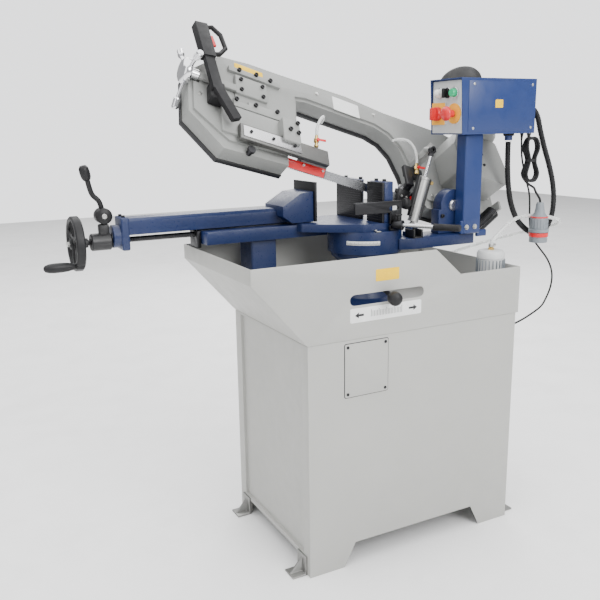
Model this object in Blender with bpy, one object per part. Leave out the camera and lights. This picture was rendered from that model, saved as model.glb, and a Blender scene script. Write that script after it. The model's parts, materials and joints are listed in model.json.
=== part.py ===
"""Horizontal metal-cutting band saw on a cabinet stand, with a swivelling, leaning saw bow.

Sizes are in millimetres and are turned into metres as each mesh is made. The design frame has its
corner at the cabinet's front left foot: +X along the blade, +Y to the back, +Z up. The empty named
"stand" moves the whole saw so that its base is centred on the world origin.
"""
from math import acos, atan2, cos, degrees, hypot, pi, radians, sin

import bmesh
import bpy
from mathutils import Matrix, Vector

MM = 0.001
GAP = 0.3                       # clearance between pieces that touch

# Stand
CABINET_W, CABINET_D, CABINET_H = 722, 485, 681.7
SHEET = 3
TRAY_LEFT, TRAY_RIGHT, TRAY_BACK = -158, 731, 492
TRAY_FLOOR, RIM_LOW, RIM_SIDE, RIM_HIGH = 682, 825, 861, 904
RIM_STEP_LOW, RIM_STEP_HIGH = 503, 413
SLOT_Z, SLOT_R, SLOT_X0, SLOT_X1 = 790, 15, 129, 372

# Mitre turntable and vice
MITRE = (363, 295)              # vertical axis of the turntable
DRUM_R, DRUM_Z0, DRUM_Z1 = 115, 868.3, 936
BED_TOP = 960
JAW_FACE_X, MOVING_FACE_X, JAW_TOP = 363, 211, 1082
VICE_Y, SCREW_Z = 412, 943
SCREW_R = 8

# Saw bow: blade point over the mitre axis, pivot, rest angles and wheels
BLADE_POINT = (360, 295, 1061)
BRACKET_Y = (212, 252)          # the bracket that carries the pivot
RAISE, LEAN = radians(17.2), radians(38)
WHEEL_R, IDLER_A, DRIVE_A, WHEEL_C = 139.6, -434, 368, 140
BLADE_W, BLADE_T = 27, 0.9
FRONT, RIM, PLATE, BACK = 33, 25, 20, -22   # casting's face, shoulder, inside and back edge, along its normal
FLANGE = [(-590, 200), (-590, 55), (-490, -38), (-286, -30), (-284, 60), (-244, 120),
          (-236, 232), (-205, 240),
          (60, 240), (110, 225), (150, 185), (178, 110), (190, 20), (226, -28), (470, -28),
          (540, 45), (550, 190),
          (482, 308), (368, 326), (102, 319), (-45, 329), (-300, 315), (-400, 312), (-490, 300)]
FACE = [(-578, 196), (-578, 62), (-476, -12), (-288, 4), (-286, 70), (-252, 122), (-244, 240), (-205, 250),
        (60, 250), (116, 232), (158, 190), (186, 112), (200, 40), (232, 0), (466, 0), (530, 56), (540, 186),
        (476, 298), (368, 318), (102, 311), (-45, 321), (-300, 307), (-400, 304), (-486, 290)]

# Feed cylinder: foot and rod pins, both in one upright plane
FOOT_PIN, ROD_PIN = (500, 240, 936), (574, 240, 1168)
SPRING_LOW, SPRING_HIGH = (736, 228, 905), (845, 228, 979)

# Column and control box
COLUMN_X, COLUMN_Y = (645, 713), (165, 211)
BOX_X, BOX_Y, BOX_Z = (604, 899), (143, 294), (1214, 1379)

# Cords: route points chosen by hand
CONDUIT_EXITS = ((Vector((846, 200, BOX_Z[0])), Vector((0, 0, -1))),
                 (Vector((BOX_X[1], 205, 1290)), Vector((1, 0, 0))))
GLAND = ((0, -2), (15, -2), (15, 8), (12, 10), (12, 22), (0, 22))
CONDUIT_ROUTE = ((846, 200, 1160), (849, 200, 1100), (857, 200, 1040), (872, 200, 985), (900, 200, 935),
                 (940, 200, 900), (985, 200, 880), (1030, 200, 892), (1056, 200, 935), (1062, 200, 990),
                 (1052, 200, 1050), (1030, 200, 1110), (1005, 200, 1165), (984, 201, 1220), (972, 204, 1262),
                 (955, 205, 1285), (938, 205, 1290))
HANK_X, HANK_Y, HANK_Z = (880, 940), (146, 176), (1040, 1205)
CABLE_ROUTE = ((930, 159, 1039.7), (931, 158, 1030), (939, 153, 1015), (946, 149, 1003), (948, 148, 993.4))
PLUG_TOP = (948, 148, 992)
PUMP_CABLE_ROUTE = ((888, 185, 1213.7), (888, 185, 1190), (892, 184, 1140), (908, 182.5, 1080),
                    (926, 182, 1035), (934, 183, 1010), (940, 186, 980), (944, 186.2, 930), (954, 186.2, 880),
                    (980, 183, 845), (1016, 168, 795), (1022, 150, 752), (1000, 130, 710), (957, 110, 671),
                    (916, 92, 654), (835, 66, 639), (775, 55, 628), (CABINET_W + GAP, 52, 620))
HOSE_ROUTE = ((674, 68, 872.6), (674, 68, 886), (682, 67, 902), (712, 74, 920), (770, 100, 940),
              (840, 135, 950), (905, 163, 949), (948, 176.3, 946), (1000, 172, 940), (1060, 170, 925),
              (1088, 205, 905), (1088, 270, 885), (1040, 340, 860), (950, 385, 835), (850, 398, 815),
              (790, 400, 803), (760, 400, 796), (TRAY_RIGHT + 0.9, 400, 795))


CREAM, GREY, STEEL = (0.60, 0.60, 0.57), (0.42, 0.42, 0.40), (0.62, 0.62, 0.63)
BLUE, BLACK, RED = (0.03, 0.08, 0.32), (0.02, 0.02, 0.022), (0.6, 0.02, 0.02)
GREEN, WHITE = (0.0, 0.45, 0.2), (0.8, 0.8, 0.8)

for old in list(bpy.data.objects):
    bpy.data.objects.remove(old)


# ---------------------------------------------------------------- solids, in millimetres

def mesh_of(bm):
    mesh = bpy.data.meshes.new("solid")
    bmesh.ops.recalc_face_normals(bm, faces=bm.faces)
    bm.to_mesh(mesh)
    bm.free()
    return mesh


def box(low, high, bevel=0, segments=1):
    bm = bmesh.new()
    bmesh.ops.create_cube(bm, size=1)
    for vert in bm.verts:
        vert.co = [low[k] + (vert.co[k] + 0.5) * (high[k] - low[k]) for k in range(3)]
    if bevel:
        bmesh.ops.bevel(bm, geom=bm.edges, offset=bevel, segments=segments, affect='EDGES',
                        profile=0.5, clamp_overlap=True)
    return mesh_of(bm)


def prism(outline, start, end, axis="Z"):
    """Extrude an outline; its two coordinates are the axes other than the given one, in X, Y, Z order."""
    index = "XYZ".index(axis)
    bm = bmesh.new()
    verts = []
    for first, second in outline:
        point = [first, second]
        point.insert(index, start)
        verts.append(bm.verts.new(point))
    face = bm.faces.new(verts)
    moved = bmesh.ops.extrude_face_region(bm, geom=[face])["geom"]
    shift = Vector((0, 0, 0))
    shift[index] = end - start
    bmesh.ops.translate(bm, verts=[g for g in moved if isinstance(g, bmesh.types.BMVert)], vec=shift)
    return mesh_of(bm)


def rounded(points, radius, steps=4):
    """Outline with every corner turned into an arc."""
    result = []
    count = len(points)
    for i, corner in enumerate(points):
        corner = Vector(corner)
        before = (Vector(points[i - 1]) - corner)
        after = (Vector(points[(i + 1) % count]) - corner)
        half = acos(max(-1, min(1, before.normalized().dot(after.normalized())))) / 2
        reach = min(radius / max(0.01, abs(sin(half) / cos(half))), before.length / 2.1, after.length / 2.1)
        begin, finish = corner + before.normalized() * reach, corner + after.normalized() * reach
        for k in range(steps + 1):
            t = k / steps
            result.append(tuple(begin * (1 - t) ** 2 + corner * 2 * t * (1 - t) + finish * t ** 2))
    return result


def stadium(x0, x1, z, radius, steps=8):
    """Outline of a slot with round ends."""
    right = [(x1 + radius * sin(pi * k / steps), z - radius * cos(pi * k / steps)) for k in range(steps + 1)]
    left = [(x0 - radius * sin(pi * k / steps), z + radius * cos(pi * k / steps)) for k in range(steps + 1)]
    return right + left


def turned(profile, base, direction, sides=24):
    """Lathe a closed profile of (radius, height) about an axis; radii of 0 meet on the axis."""
    bm = bmesh.new()
    rings = []
    for radius, height in profile:
        if radius < 1e-6:
            rings.append([bm.verts.new((0, 0, height))])
            continue
        rings.append([bm.verts.new((radius * cos(2 * pi * k / sides),
                                    radius * sin(2 * pi * k / sides), height))
                      for k in range(sides)])
    closed = profile[0][0] > 1e-6
    pairs = list(zip(rings, rings[1:] + rings[:1])) if closed else list(zip(rings, rings[1:]))
    for lower, upper in pairs:
        for k in range(sides):
            corners = [lower[k % len(lower)], lower[(k + 1) % len(lower)],
                       upper[(k + 1) % len(upper)], upper[k % len(upper)]]
            unique = list(dict.fromkeys(corners))
            if len(unique) > 2:
                bm.faces.new(unique)
    turn = Vector(direction).normalized().to_track_quat('Z', 'Y').to_matrix().to_4x4()
    bmesh.ops.transform(bm, matrix=Matrix.Translation(base) @ turn, verts=bm.verts)
    return mesh_of(bm)


def rod(start, end, radius, sides=16, end_radius=None):
    length = (Vector(end) - Vector(start)).length
    last = radius if end_radius is None else end_radius
    return turned([(0, 0), (radius, 0), (last, length), (0, length)], start,
                  Vector(end) - Vector(start), sides)


def ring(center, direction, outer, inner, width, sides=24):
    """Ring whose middle plane lies at the centre."""
    half = width / 2
    return turned([(inner, -half), (outer, -half), (outer, half), (inner, half)], center, direction, sides)


def beam(start, end, width, height, up=(0, 0, 1)):
    """Rectangular bar between two points; height is measured near the up direction."""
    start, end = Vector(start), Vector(end)
    along = (end - start).normalized()
    side = along.cross(Vector(up)).normalized()
    top = side.cross(along)
    solid = box((0, -width / 2, -height / 2), ((end - start).length, width / 2, height / 2))
    turn = Matrix((along, -side, top)).transposed().to_4x4()
    solid.transform(Matrix.Translation(start) @ turn)
    return solid


def bent_rod(points, radius, sides=10):
    """Round bar through the given points, with mitred corners and flat ends."""
    points = [Vector(p) for p in points]
    bm = bmesh.new()
    rings = []
    normal = None
    for i, point in enumerate(points):
        before = (point - points[i - 1]).normalized() if i else (points[1] - point).normalized()
        after = (points[i + 1] - point).normalized() if i + 1 < len(points) else before
        tangent = (before + after).normalized()
        if normal is None:
            normal = tangent.orthogonal().normalized()
        normal = (normal - tangent * normal.dot(tangent)).normalized()
        other = tangent.cross(normal)
        rings.append([bm.verts.new(point + normal * radius * cos(2 * pi * k / sides)
                                   + other * radius * sin(2 * pi * k / sides)) for k in range(sides)])
    for lower, upper in zip(rings, rings[1:]):
        for k in range(sides):
            bm.faces.new((lower[k], lower[(k + 1) % sides], upper[(k + 1) % sides], upper[k]))
    bm.faces.new(rings[0])
    bm.faces.new(rings[-1])
    return mesh_of(bm)


def boolean(first, second, operation):
    """Result of one exact Boolean between two meshes."""
    objects = [bpy.data.objects.new("temporary", mesh) for mesh in (first, second)]
    for obj in objects:
        bpy.context.collection.objects.link(obj)
    modifier = objects[0].modifiers.new("join", 'BOOLEAN')
    modifier.operation = operation
    modifier.object = objects[1]
    modifier.solver = 'EXACT'
    graph = bpy.context.evaluated_depsgraph_get()
    result = bpy.data.meshes.new_from_object(objects[0].evaluated_get(graph))
    for obj in objects:
        bpy.data.objects.remove(obj)
    return result


MATERIALS = {}


def finish(name, color, roughness=0.5, metallic=0.0):
    if name not in MATERIALS:
        material = bpy.data.materials.new(name)
        material.use_nodes = True
        shader = material.node_tree.nodes["Principled BSDF"]
        shader.inputs["Base Color"].default_value = (*color, 1)
        shader.inputs["Roughness"].default_value = roughness
        shader.inputs["Metallic"].default_value = metallic
        MATERIALS[name] = material
    return MATERIALS[name]


def part(name, frame, look, add, cut=(), origin=(0, 0, 0)):
    """Join solids, cut others out, and place the piece in its frame with its origin on its own axis."""
    mesh = add[0]
    for solid in add[1:]:
        mesh = boolean(mesh, solid, 'UNION')
    for solid in cut:
        mesh = boolean(mesh, solid, 'DIFFERENCE')
    mesh.transform(Matrix.Scale(MM, 4) @ Matrix.Translation(-Vector(origin)))
    mesh.name = name
    mesh.shade_smooth()
    mesh.set_sharp_from_angle(angle=radians(35))
    obj = bpy.data.objects.new(name, mesh)
    bpy.context.collection.objects.link(obj)
    obj.data.materials.clear()
    obj.data.materials.append(look)
    obj.location = Vector(origin) * MM
    obj.parent = frame
    return obj


def empty(name, parent=None, location=(0, 0, 0), matrix=None):
    obj = bpy.data.objects.new(name, None)
    bpy.context.collection.objects.link(obj)
    obj.parent = parent
    if matrix is None:
        obj.location = Vector(location) * MM
    else:
        obj.matrix_local = Matrix.Translation(Vector(location) * MM) @ matrix.to_4x4()
    return obj


PAINT_CREAM = finish("cream_paint", CREAM, 0.55)
PAINT_GREY = finish("grey_paint", GREY, 0.5)
PAINT_BLUE = finish("blue_paint", BLUE, 0.4)
PAINT_BLACK = finish("black_paint", BLACK, 0.45)
PLASTIC_BLACK = finish("black_plastic", BLACK, 0.55)
BARE_STEEL = finish("steel", STEEL, 0.3, 1)
CHROMED = finish("chrome", (0.8, 0.8, 0.82), 0.1, 1)
PLASTIC_RED = finish("red_plastic", RED, 0.35)
PLASTIC_GREEN = finish("green_plastic", GREEN, 0.4)
PLASTIC_WHITE = finish("white_plastic", WHITE, 0.4)
RUBBER = finish("rubber", (0.015, 0.015, 0.015), 0.75)

stand = empty("stand")


# ---------------------------------------------------------------- stand

def make_stand():
    skin, recess = 2, 12
    notch = [(113, -1), (150, 70), (575, 70), (610, -1)]
    side_cuts = []
    for inner, outer in ((-1, recess - skin), (CABINET_W - recess + skin, CABINET_W + 1)):
        side_cuts.append(box((inner, 40, 62), (outer, 445, CABINET_H - 8)))
    part("cabinet", stand, PAINT_CREAM,
         [box((0, 0, 0), (CABINET_W, CABINET_D, CABINET_H))],
         [box((recess, skin, -1), (CABINET_W - recess, CABINET_D - skin, CABINET_H - skin)), *side_cuts,
          prism(notch, -1, CABINET_D + 1, "Y"),
          box((-1, 60, -1), (CABINET_W + 1, 425, 48))])
    for place, y in (("front", 18), ("rear", 410)):
        for side, x, way in (("left", -GAP, -1), ("right", CABINET_W + GAP, 1)):
            plate = box((min(x, x + way * 46), y, 0), (max(x, x + way * 46), y + 52, 5))
            tab = box((min(x, x + way * 5), y, 0.5), (max(x, x + way * 5), y + 52, 58))
            gusset = prism([(x + way * 1, 1), (x + way * 44, 3), (x + way * 4, 50)], y + 22, y + 28, "Y")
            part(f"foot_{place}_{side}", stand, PAINT_BLACK, [plate, tab, gusset])


def make_tray():
    outline = [(0, TRAY_FLOOR), (TRAY_RIGHT, TRAY_FLOOR), (TRAY_RIGHT, RIM_LOW), (RIM_STEP_LOW, RIM_LOW),
               (RIM_STEP_HIGH, RIM_HIGH), (TRAY_LEFT, RIM_HIGH), (TRAY_LEFT, RIM_SIDE)]
    slope = Vector((TRAY_LEFT, RIM_SIDE - TRAY_FLOOR)).normalized()
    inset = Vector((slope.y, -slope.x)) * SHEET
    floor = TRAY_FLOOR + SHEET
    run = (floor - TRAY_FLOOR - inset.y) / slope.y
    start_x = inset.x + slope.x * run
    reach = (TRAY_LEFT + SHEET - inset.x) / slope.x
    inside = [(start_x, floor), (TRAY_RIGHT - SHEET, floor), (TRAY_RIGHT - SHEET, RIM_HIGH + 9),
              (TRAY_LEFT + SHEET, RIM_HIGH + 9), (TRAY_LEFT + SHEET, TRAY_FLOOR + inset.y + slope.y * reach)]
    part("tray", stand, PAINT_CREAM, [prism(outline, 2, TRAY_BACK, "Y")],
         [prism(inside, -9, TRAY_BACK - SHEET, "Y")])
    part("front_panel", stand, PAINT_CREAM, [prism(outline, -1.5, 1.7, "Y")],
         [prism(stadium(SLOT_X0 + SLOT_R, SLOT_X1 - SLOT_R, SLOT_Z, SLOT_R), -9, 9, "Y")])


def make_pump():
    x, y, floor = 674, 68, TRAY_FLOOR + SHEET + GAP
    profile = [(0, 0), (50, 0), (50, 112), (42, 112), (42, 178), (36, 185.5), (0, 185.5)]
    part("coolant_pump", stand, PAINT_GREY, [turned(profile, (x, y, floor), (0, 0, 1), 24)],
         origin=(x, y, floor))


# ---------------------------------------------------------------- turntable base and vice

def make_base():
    x, y = MITRE
    floor = TRAY_FLOOR + SHEET + GAP
    profile = [(0, 0), (130, 0), (130, 16), (75, 40), (62, 60), (62, 130), (105, 170),
               (105, DRUM_Z0 - GAP - floor), (0, DRUM_Z0 - GAP - floor)]
    part("turntable_base", stand, PAINT_BLUE, [turned(profile, (x, y, floor), (0, 0, 1), 32)],
         origin=(x, y, floor))


def make_vice():
    x, y = MITRE
    bed = prism(rounded([(-141, 338), (290, 338), (290, 472), (-141, 472)], 6, 2), 918, 955, "Z")
    table = turned([(0, 0), (96, 0), (96, BED_TOP - DRUM_Z1 - GAP), (0, BED_TOP - DRUM_Z1 - GAP)],
                   (x, y, DRUM_Z1 + GAP), (0, 0, 1), 40)
    deck = prism(rounded([(150, 312), (300, 200), (410, 200), (410, 470), (150, 470)], 8, 2),
                 DRUM_Z1 + GAP, BED_TOP, "Z")
    spigot = rod((x, y, DRUM_Z0), (x, y, DRUM_Z1 + 4), 40, 32)
    leg = box((8, 360, TRAY_FLOOR + SHEET + GAP), (90, 450, 920), 4)
    clearance = turned([(0, 0), (DRUM_R + 1.5, 0), (DRUM_R + 1.5, 80), (0, 80)], (x, y, DRUM_Z1 + GAP - 80),
                       (0, 0, 1), 40)
    channel = box((-150, VICE_Y - 12, 932), (150, VICE_Y + 12, 972))
    bed = boolean(bed, clearance, 'DIFFERENCE')
    part("vice_bed", stand, PAINT_BLUE, [bed, table, deck, spigot, leg], [channel])
    nut = box((-158 + SHEET + GAP + 1, 380, 905), (-141 - GAP, 444, 955), 2)
    bore = rod((-200, VICE_Y, SCREW_Z), (-100, VICE_Y, SCREW_Z), SCREW_R + 0.4, 20)
    part("nut_block", stand, PAINT_BLACK, [nut], [bore])
    front = prism([(JAW_FACE_X + 8, 200), (JAW_FACE_X + 40, 200), (JAW_FACE_X + 29, 281),
                   (JAW_FACE_X + 8, 281)],
                  BED_TOP + GAP, JAW_TOP, "Z")
    rear = prism([(JAW_FACE_X + 8, 319), (JAW_FACE_X + 29, 345), (JAW_FACE_X + 40, 466),
                  (JAW_FACE_X + 8, 466)],
                 BED_TOP + GAP, JAW_TOP, "Z")
    for name, jaw, y0, y1 in (("front", front, 198, 284), ("rear", rear, 316, 466)):
        part(f"fixed_jaw_{name}", stand, PAINT_BLUE, [jaw])
        plate = box((JAW_FACE_X, y0, BED_TOP + GAP), (JAW_FACE_X + 8 - GAP, y1, JAW_TOP - 2), 1)
        part(f"jaw_plate_{name}", stand, PAINT_BLACK, [plate])


def make_ram():
    ram = empty("ram_frame", stand, (MOVING_FACE_X, VICE_Y, 985))
    shift = -Vector((MOVING_FACE_X, VICE_Y, 985))

    def placed(mesh):
        mesh.transform(Matrix.Translation(shift))
        return mesh

    cross = [(378, 960.5), (446, 960.5), (446, 997), (436, 1005), (388, 1005), (378, 997)]
    beam_solid = prism(cross, -352, 200, "X")
    jaw = prism([(100, 984), (100, 1014), (160, 1050), (202, 1054), (202, 963), (130, 963)], 330, 455, "Y")
    collar = turned([(0, 0), (32, 0), (32, 30), (0, 30)], (-392, VICE_Y, SCREW_Z + 12), (1, 0, 0), 24)
    bracket = box((-372, 376, 917), (-350, 448, 1008), 3)
    key = box((-351, VICE_Y - 11, 956.5), (-20, VICE_Y + 11, 962))
    bore = rod((-420, VICE_Y, SCREW_Z), (-340, VICE_Y, SCREW_Z), SCREW_R + 0.4, 20)
    part("ram", ram, PAINT_BLUE, [placed(m) for m in (beam_solid, jaw, bracket, collar, key)],
         [placed(bore)])
    part("moving_jaw_plate", ram, PAINT_BLACK,
         [placed(box((203, 322, 963), (MOVING_FACE_X, 461, JAW_TOP), 1))])

    wheel = empty("handwheel_frame", ram, (-495 - MOVING_FACE_X, 0, SCREW_Z - 985))
    tyre = [(68 + 7 * cos(2 * pi * k / 8), 7 * sin(2 * pi * k / 8)) for k in range(8)]
    tyre = turned(tyre, (0, 0, 0), (1, 0, 0), 28)
    hub = rod((-10, 0, 0), (36, 0, 0), 15, 16)
    screw = rod((30, 0, 0), (420, 0, 0), SCREW_R, 16)
    spokes = [beam((0, 8 * cos(t), 8 * sin(t)), (-0.01, 66 * cos(t), 66 * sin(t)), 9, 14, (1, 0, 0))
              for t in (radians(-90), radians(30), radians(150))]
    ear = rod((-7, -68 * 0.6, -68 * 0.8), (12, -68 * 0.6, -68 * 0.8), 10, 12)
    part("handwheel", wheel, PLASTIC_BLACK, [tyre, hub, *spokes, ear, screw])
    grip = empty("crank_frame", wheel, (-7 - GAP, -68 * 0.6, -68 * 0.8))
    handle = turned([(0, 0), (6, 0), (7, 4), (12, 24), (13, 60), (10, 80), (0, 84)],
                    (0, 0, 0), (-1, 0, 0), 16)
    part("crank_handle", grip, PLASTIC_BLACK, [handle])

    cam = empty("clamp_frame", ram, (-412 - MOVING_FACE_X, 0, 1014 - 985))
    cam_disc = turned([(0, -20), (22, -20), (22, 20), (0, 20)], (0, 0, 0), (0, 1, 0), 24)
    shank = bent_rod([(0, 0, 10), (-8, 0, 40), (-26, 0, 62), (-38, -6, 108)], 7, 12)
    knob = turned([(0, 0), (10, 0), (13, 8), (13, 34), (9, 40), (0, 42)], (-36, -5, 98), (-12, -6, 46), 14)
    part("clamp_lever", cam, PLASTIC_BLACK, [cam_disc, shank, knob])
    return ram


def make_lock_lever():
    x, y = MITRE
    angle = radians(19)
    lever = empty("lock_frame", stand, (x, y, SLOT_Z))
    tip = Vector((-sin(angle), -cos(angle), 0))
    hub = ring((0, 0, 0), (0, 0, 1), 82, 62.5, 20, 32)
    bar = rod(tip * 76, tip * 330, 7, 12)
    profile = [(0, 0), (10, 0), (12, 6), (19, 12), (19, 34), (12, 42), (0, 44)]
    part("lock_lever", lever, PAINT_BLACK, [hub, bar, turned(profile, tip * 328, tip, 20)])


def make_stop():
    """Work stop at the front of the fixed jaw: a bracket, and a bar that slides through its boss."""
    bar = box((262, 188, 990), (428, 197, 1026), 2)
    leg = box((385, 188, 936.5), (428, 197, 1000), 2)
    slot = prism(stadium(388, 408, 1004, 7), 180, 200, "Y")
    direction = Vector((140, -220, 0)).normalized()
    center = Vector((404, 172, 955))
    boss = rod(center - direction * 14, center + direction * 14, 15, 16)
    hole = rod(center - direction * 60, center + direction * 60, 6.5, 16)
    part("stop_bracket", stand, PAINT_BLACK, [bar, leg, boss], [slot, hole])
    stop = empty("stop_frame", stand, center)
    bar = rod(direction * -16, direction * 120, 6, 12)
    part("stop_rod", stop, PAINT_BLACK, [bar, rod(direction * 110, direction * 190, 10, 14)])
    return direction


# ---------------------------------------------------------------- turntable and what stands on it

def make_turntable(table):
    base = -Vector((*MITRE, 0))

    def placed(mesh):
        mesh.transform(Matrix.Translation(base))
        return mesh

    drum = ring((*MITRE, (DRUM_Z0 + DRUM_Z1) / 2), (0, 0, 1), DRUM_R, 40.4, DRUM_Z1 - DRUM_Z0, 40)
    arm = prism(rounded([(420, 190), (470, 176), (700, 176), (700, 284), (430, 284)], 6, 2), 876, 908, "Z")
    foot_x, foot_y, foot_z = FOOT_PIN
    pad = box((foot_x - 22, 224, 906), (foot_x + 22, 256, 922), 1)
    cheeks = [box((foot_x - 14, y, 920), (foot_x + 14, y + 6, 944), 2) for y in (224.5, 249.5)]
    pin = rod((foot_x, 220, foot_z), (foot_x, 260, foot_z), 5, 14)
    part("turntable", table, PAINT_BLUE, [placed(m) for m in (drum, arm, pad, *cheeks, pin)])
    pivot_x, pivot_z = 642.4, 995.5
    block = box((585, BRACKET_Y[0], 908 + GAP), (700, BRACKET_Y[1], 985), 2)
    arch = rod((pivot_x, BRACKET_Y[0], pivot_z), (pivot_x, BRACKET_Y[1], pivot_z), 50, 32)
    bore = rod((pivot_x, 200, pivot_z), (pivot_x, 280, pivot_z), 18.4, 24)
    part("pivot_bracket", table, PAINT_BLUE, [placed(block), placed(arch)], [placed(bore)])
    tube = box((*[COLUMN_X[0], COLUMN_Y[0]], 908 + GAP), (COLUMN_X[1], COLUMN_Y[1], BOX_Z[0] - GAP), 3)
    foot = box((638, 168, 908 + GAP), (705, 178, 950), 2)
    clip = box((COLUMN_X[1] - 3, 176, 895), (750, 186, 916), 2)
    part("column", table, PAINT_BLUE, [placed(tube), placed(foot), placed(clip)])


def make_control_box(table):
    x0, x1 = BOX_X
    y0, y1 = BOX_Y
    z0, z1 = BOX_Z
    base = -Vector((*MITRE, 0))

    def placed(mesh):
        mesh.transform(Matrix.Translation(base))
        return mesh

    body = box((x0 + 10, y0, z0), (x1, y1, z1))
    hood = box((x0 - 2, y0, z1 - 3), (x0 + 14, y1, z1))
    cheeks = [prism([(x0 + 12, z0), (x0 + 12, z1 - 1), (x0 - 2, z1 - 1), (x0 + 6, z0)], *span, "Y")
              for span in ((y0, y0 + 2.5), (y1 - 2.5, y1))]
    glands = [turned(GLAND, point, way, 14) for point, way in CONDUIT_EXITS]
    part("control_box", table, PAINT_BLUE, [placed(m) for m in (body, hood, *cheeks, *glands)])
    face_x = x0 + 10 - GAP
    panel = box((face_x - 3, y0 + 5, z0 + 4), (face_x, y1 - 5, z1 - 6))
    front = face_x - 3
    left, right, high, low = y1 - 40, y0 + 38, z1 - 42, z0 + 62
    plate = box((front - 6, left - 33, low - 33), (front + 1, left + 31, low + 33), 1)
    collar = rod((front + 1, right, low), (front - 5, right, low), 30, 24)
    part("control_panel", table, PLASTIC_WHITE, [placed(panel), placed(plate), placed(collar)])

    def control(name, look, point, solids):
        """A control on the panel, its origin on its own axis."""
        at = Vector(point)
        for solid in solids:
            solid.transform(Matrix.Translation(at + base))
        part(name, table, look, solids, origin=at + base)

    main_disc = rod((-GAP, 0, 0), (-14, 0, 0), 21, 24)
    main_bar = box((-30, -7, -20), (-13, 7, 20), 2)
    control("main_switch", PLASTIC_RED, (front - 6, left, low), [main_disc, main_bar])
    mushroom = turned([(0, 7), (11, 7), (11, 22), (21, 25), (21, 33), (14, 39), (0, 41)], (0, 0, 0),
                      (-1, 0, 0), 24)
    control("emergency_stop", PLASTIC_RED, (front - 5, right, low), [mushroom])
    selector_disc = rod((0, 0, 0), (-9, 0, 0), 14, 20)
    selector_bar = box((-22, -4, -14), (-8, 4, 14), 1.5)
    control("selector", PLASTIC_BLACK, (front - GAP, (left + right) / 2, high), [selector_disc, selector_bar])
    control("start_button", PLASTIC_GREEN, (front - GAP, right, high), [rod((-5, 0, 0), (-18, 0, 0), 13, 20)])
    control("signal_lamp", PLASTIC_WHITE, (front - GAP, left, high),
            [turned([(0, 0), (15, 0), (15, 8), (12, 18), (0, 21)], (0, 0, 0), (-1, 0, 0), 20)])


def make_feed(table):
    """Feed cylinder, opened at its rod pin: the rod slides in the cylinder, which swings on its foot."""
    base = Vector((*MITRE, 0))
    foot = Vector(FOOT_PIN) - base
    along = (Vector(ROD_PIN) - Vector(FOOT_PIN)).normalized()
    feed = empty("feed_frame", table, foot)
    eye = ring((0, 0, 0), (0, 1, 0), 12, 5.3, 16, 20)
    barrel = rod(along * 16, along * 158, 16, 24)
    neck = rod(along * 8, along * 20, 7, 16)
    strips = [beam(along * 30 + Vector((side * along.z, 0, -side * along.x)) * 19,
                   along * 158 + Vector((side * along.z, 0, -side * along.x)) * 19, 16, 9,
                   (along.z, 0, -along.x)) for side in (-1, 1)]
    bore = rod(along * 40, along * 170, 6.6, 16)
    part("feed_cylinder", feed, PAINT_GREY, [barrel, neck, eye, *strips], [bore])
    reach = (Vector(ROD_PIN) - Vector(FOOT_PIN)).length
    rod_frame = empty("rod_frame", feed, along * reach)
    piston_rod = rod(along * -150, along * -11, 6, 16)
    rod_eye = ring((0, 0, 0), (0, 1, 0), 12, 6, 12, 20)
    part("piston_rod", rod_frame, CHROMED, [piston_rod, rod_eye])
    knob_at = along * 62 + Vector((-along.z, 0, along.x)) * 24
    side = Vector((-along.z, 0, along.x))
    knob = empty("knob_frame", feed, knob_at)
    profile = [(0, GAP), (6, GAP), (6, 8), (16, 10), (17, 22), (13, 29), (0, 31)]
    part("feed_knob", knob, PLASTIC_BLACK, [turned(profile, (0, 0, 0), side, 20)])


def make_spring(table):
    """Balance spring between the column and the bow."""
    low, high = Vector(SPRING_LOW), Vector(SPRING_HIGH)
    base = Vector((*MITRE, 0))
    spring = empty("spring_frame", table, low - base)
    along = (high - low).normalized()
    body = turned([(0, 13), (21, 13), (24, 16), (24, 103), (21, 106), (0, 106)], (0, 0, 0), along, 20)
    lower = rod(along * 16, (0, 0, 0), 3, 8)
    anchor = rod((0, 3, 0), (0, -41.4, 0), 3, 10)
    tail = rod(along * 103, along * 116, 3, 8)
    part("return_spring", spring, PAINT_BLACK, [body, lower, anchor, tail])


# ---------------------------------------------------------------- saw bow

def blade_path(count_round=28, count_run=8):
    """Middle line of the blade and its tilt: 0 is flat on the wheels, 1 is upright at the work."""
    path = []
    guide_left, guide_right, lead = -244, 172, 110
    run = [IDLER_A + (guide_left - lead - IDLER_A) * k / 2 for k in range(3)]
    run += [guide_left - lead + lead * k / count_run for k in range(1, count_run + 1)]
    run += [guide_left + (guide_right - guide_left) * k / 4 for k in range(1, 5)]
    run += [guide_right + lead * k / count_run for k in range(1, count_run + 1)]
    run += [DRIVE_A]
    radius = WHEEL_R + GAP + BLADE_T / 2
    for a in run:
        if a <= guide_left:
            tilt = max(0, 1 - (guide_left - a) / lead)
        elif a >= guide_right:
            tilt = max(0, 1 - (a - guide_right) / lead)
        else:
            tilt = 1
        path.append((a, WHEEL_C - radius, tilt * tilt * (3 - 2 * tilt), -pi / 2))
    for k in range(1, count_round):
        t = -pi / 2 + pi * k / count_round
        path.append((DRIVE_A + radius * cos(t), WHEEL_C + radius * sin(t), 0, t))
    for k in range(7):
        path.append((DRIVE_A + (IDLER_A - DRIVE_A) * k / 6, WHEEL_C + radius, 0, pi / 2))
    for k in range(1, count_round):
        t = pi / 2 + pi * k / count_round
        path.append((IDLER_A + radius * cos(t), WHEEL_C + radius * sin(t), 0, t))
    return path


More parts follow.
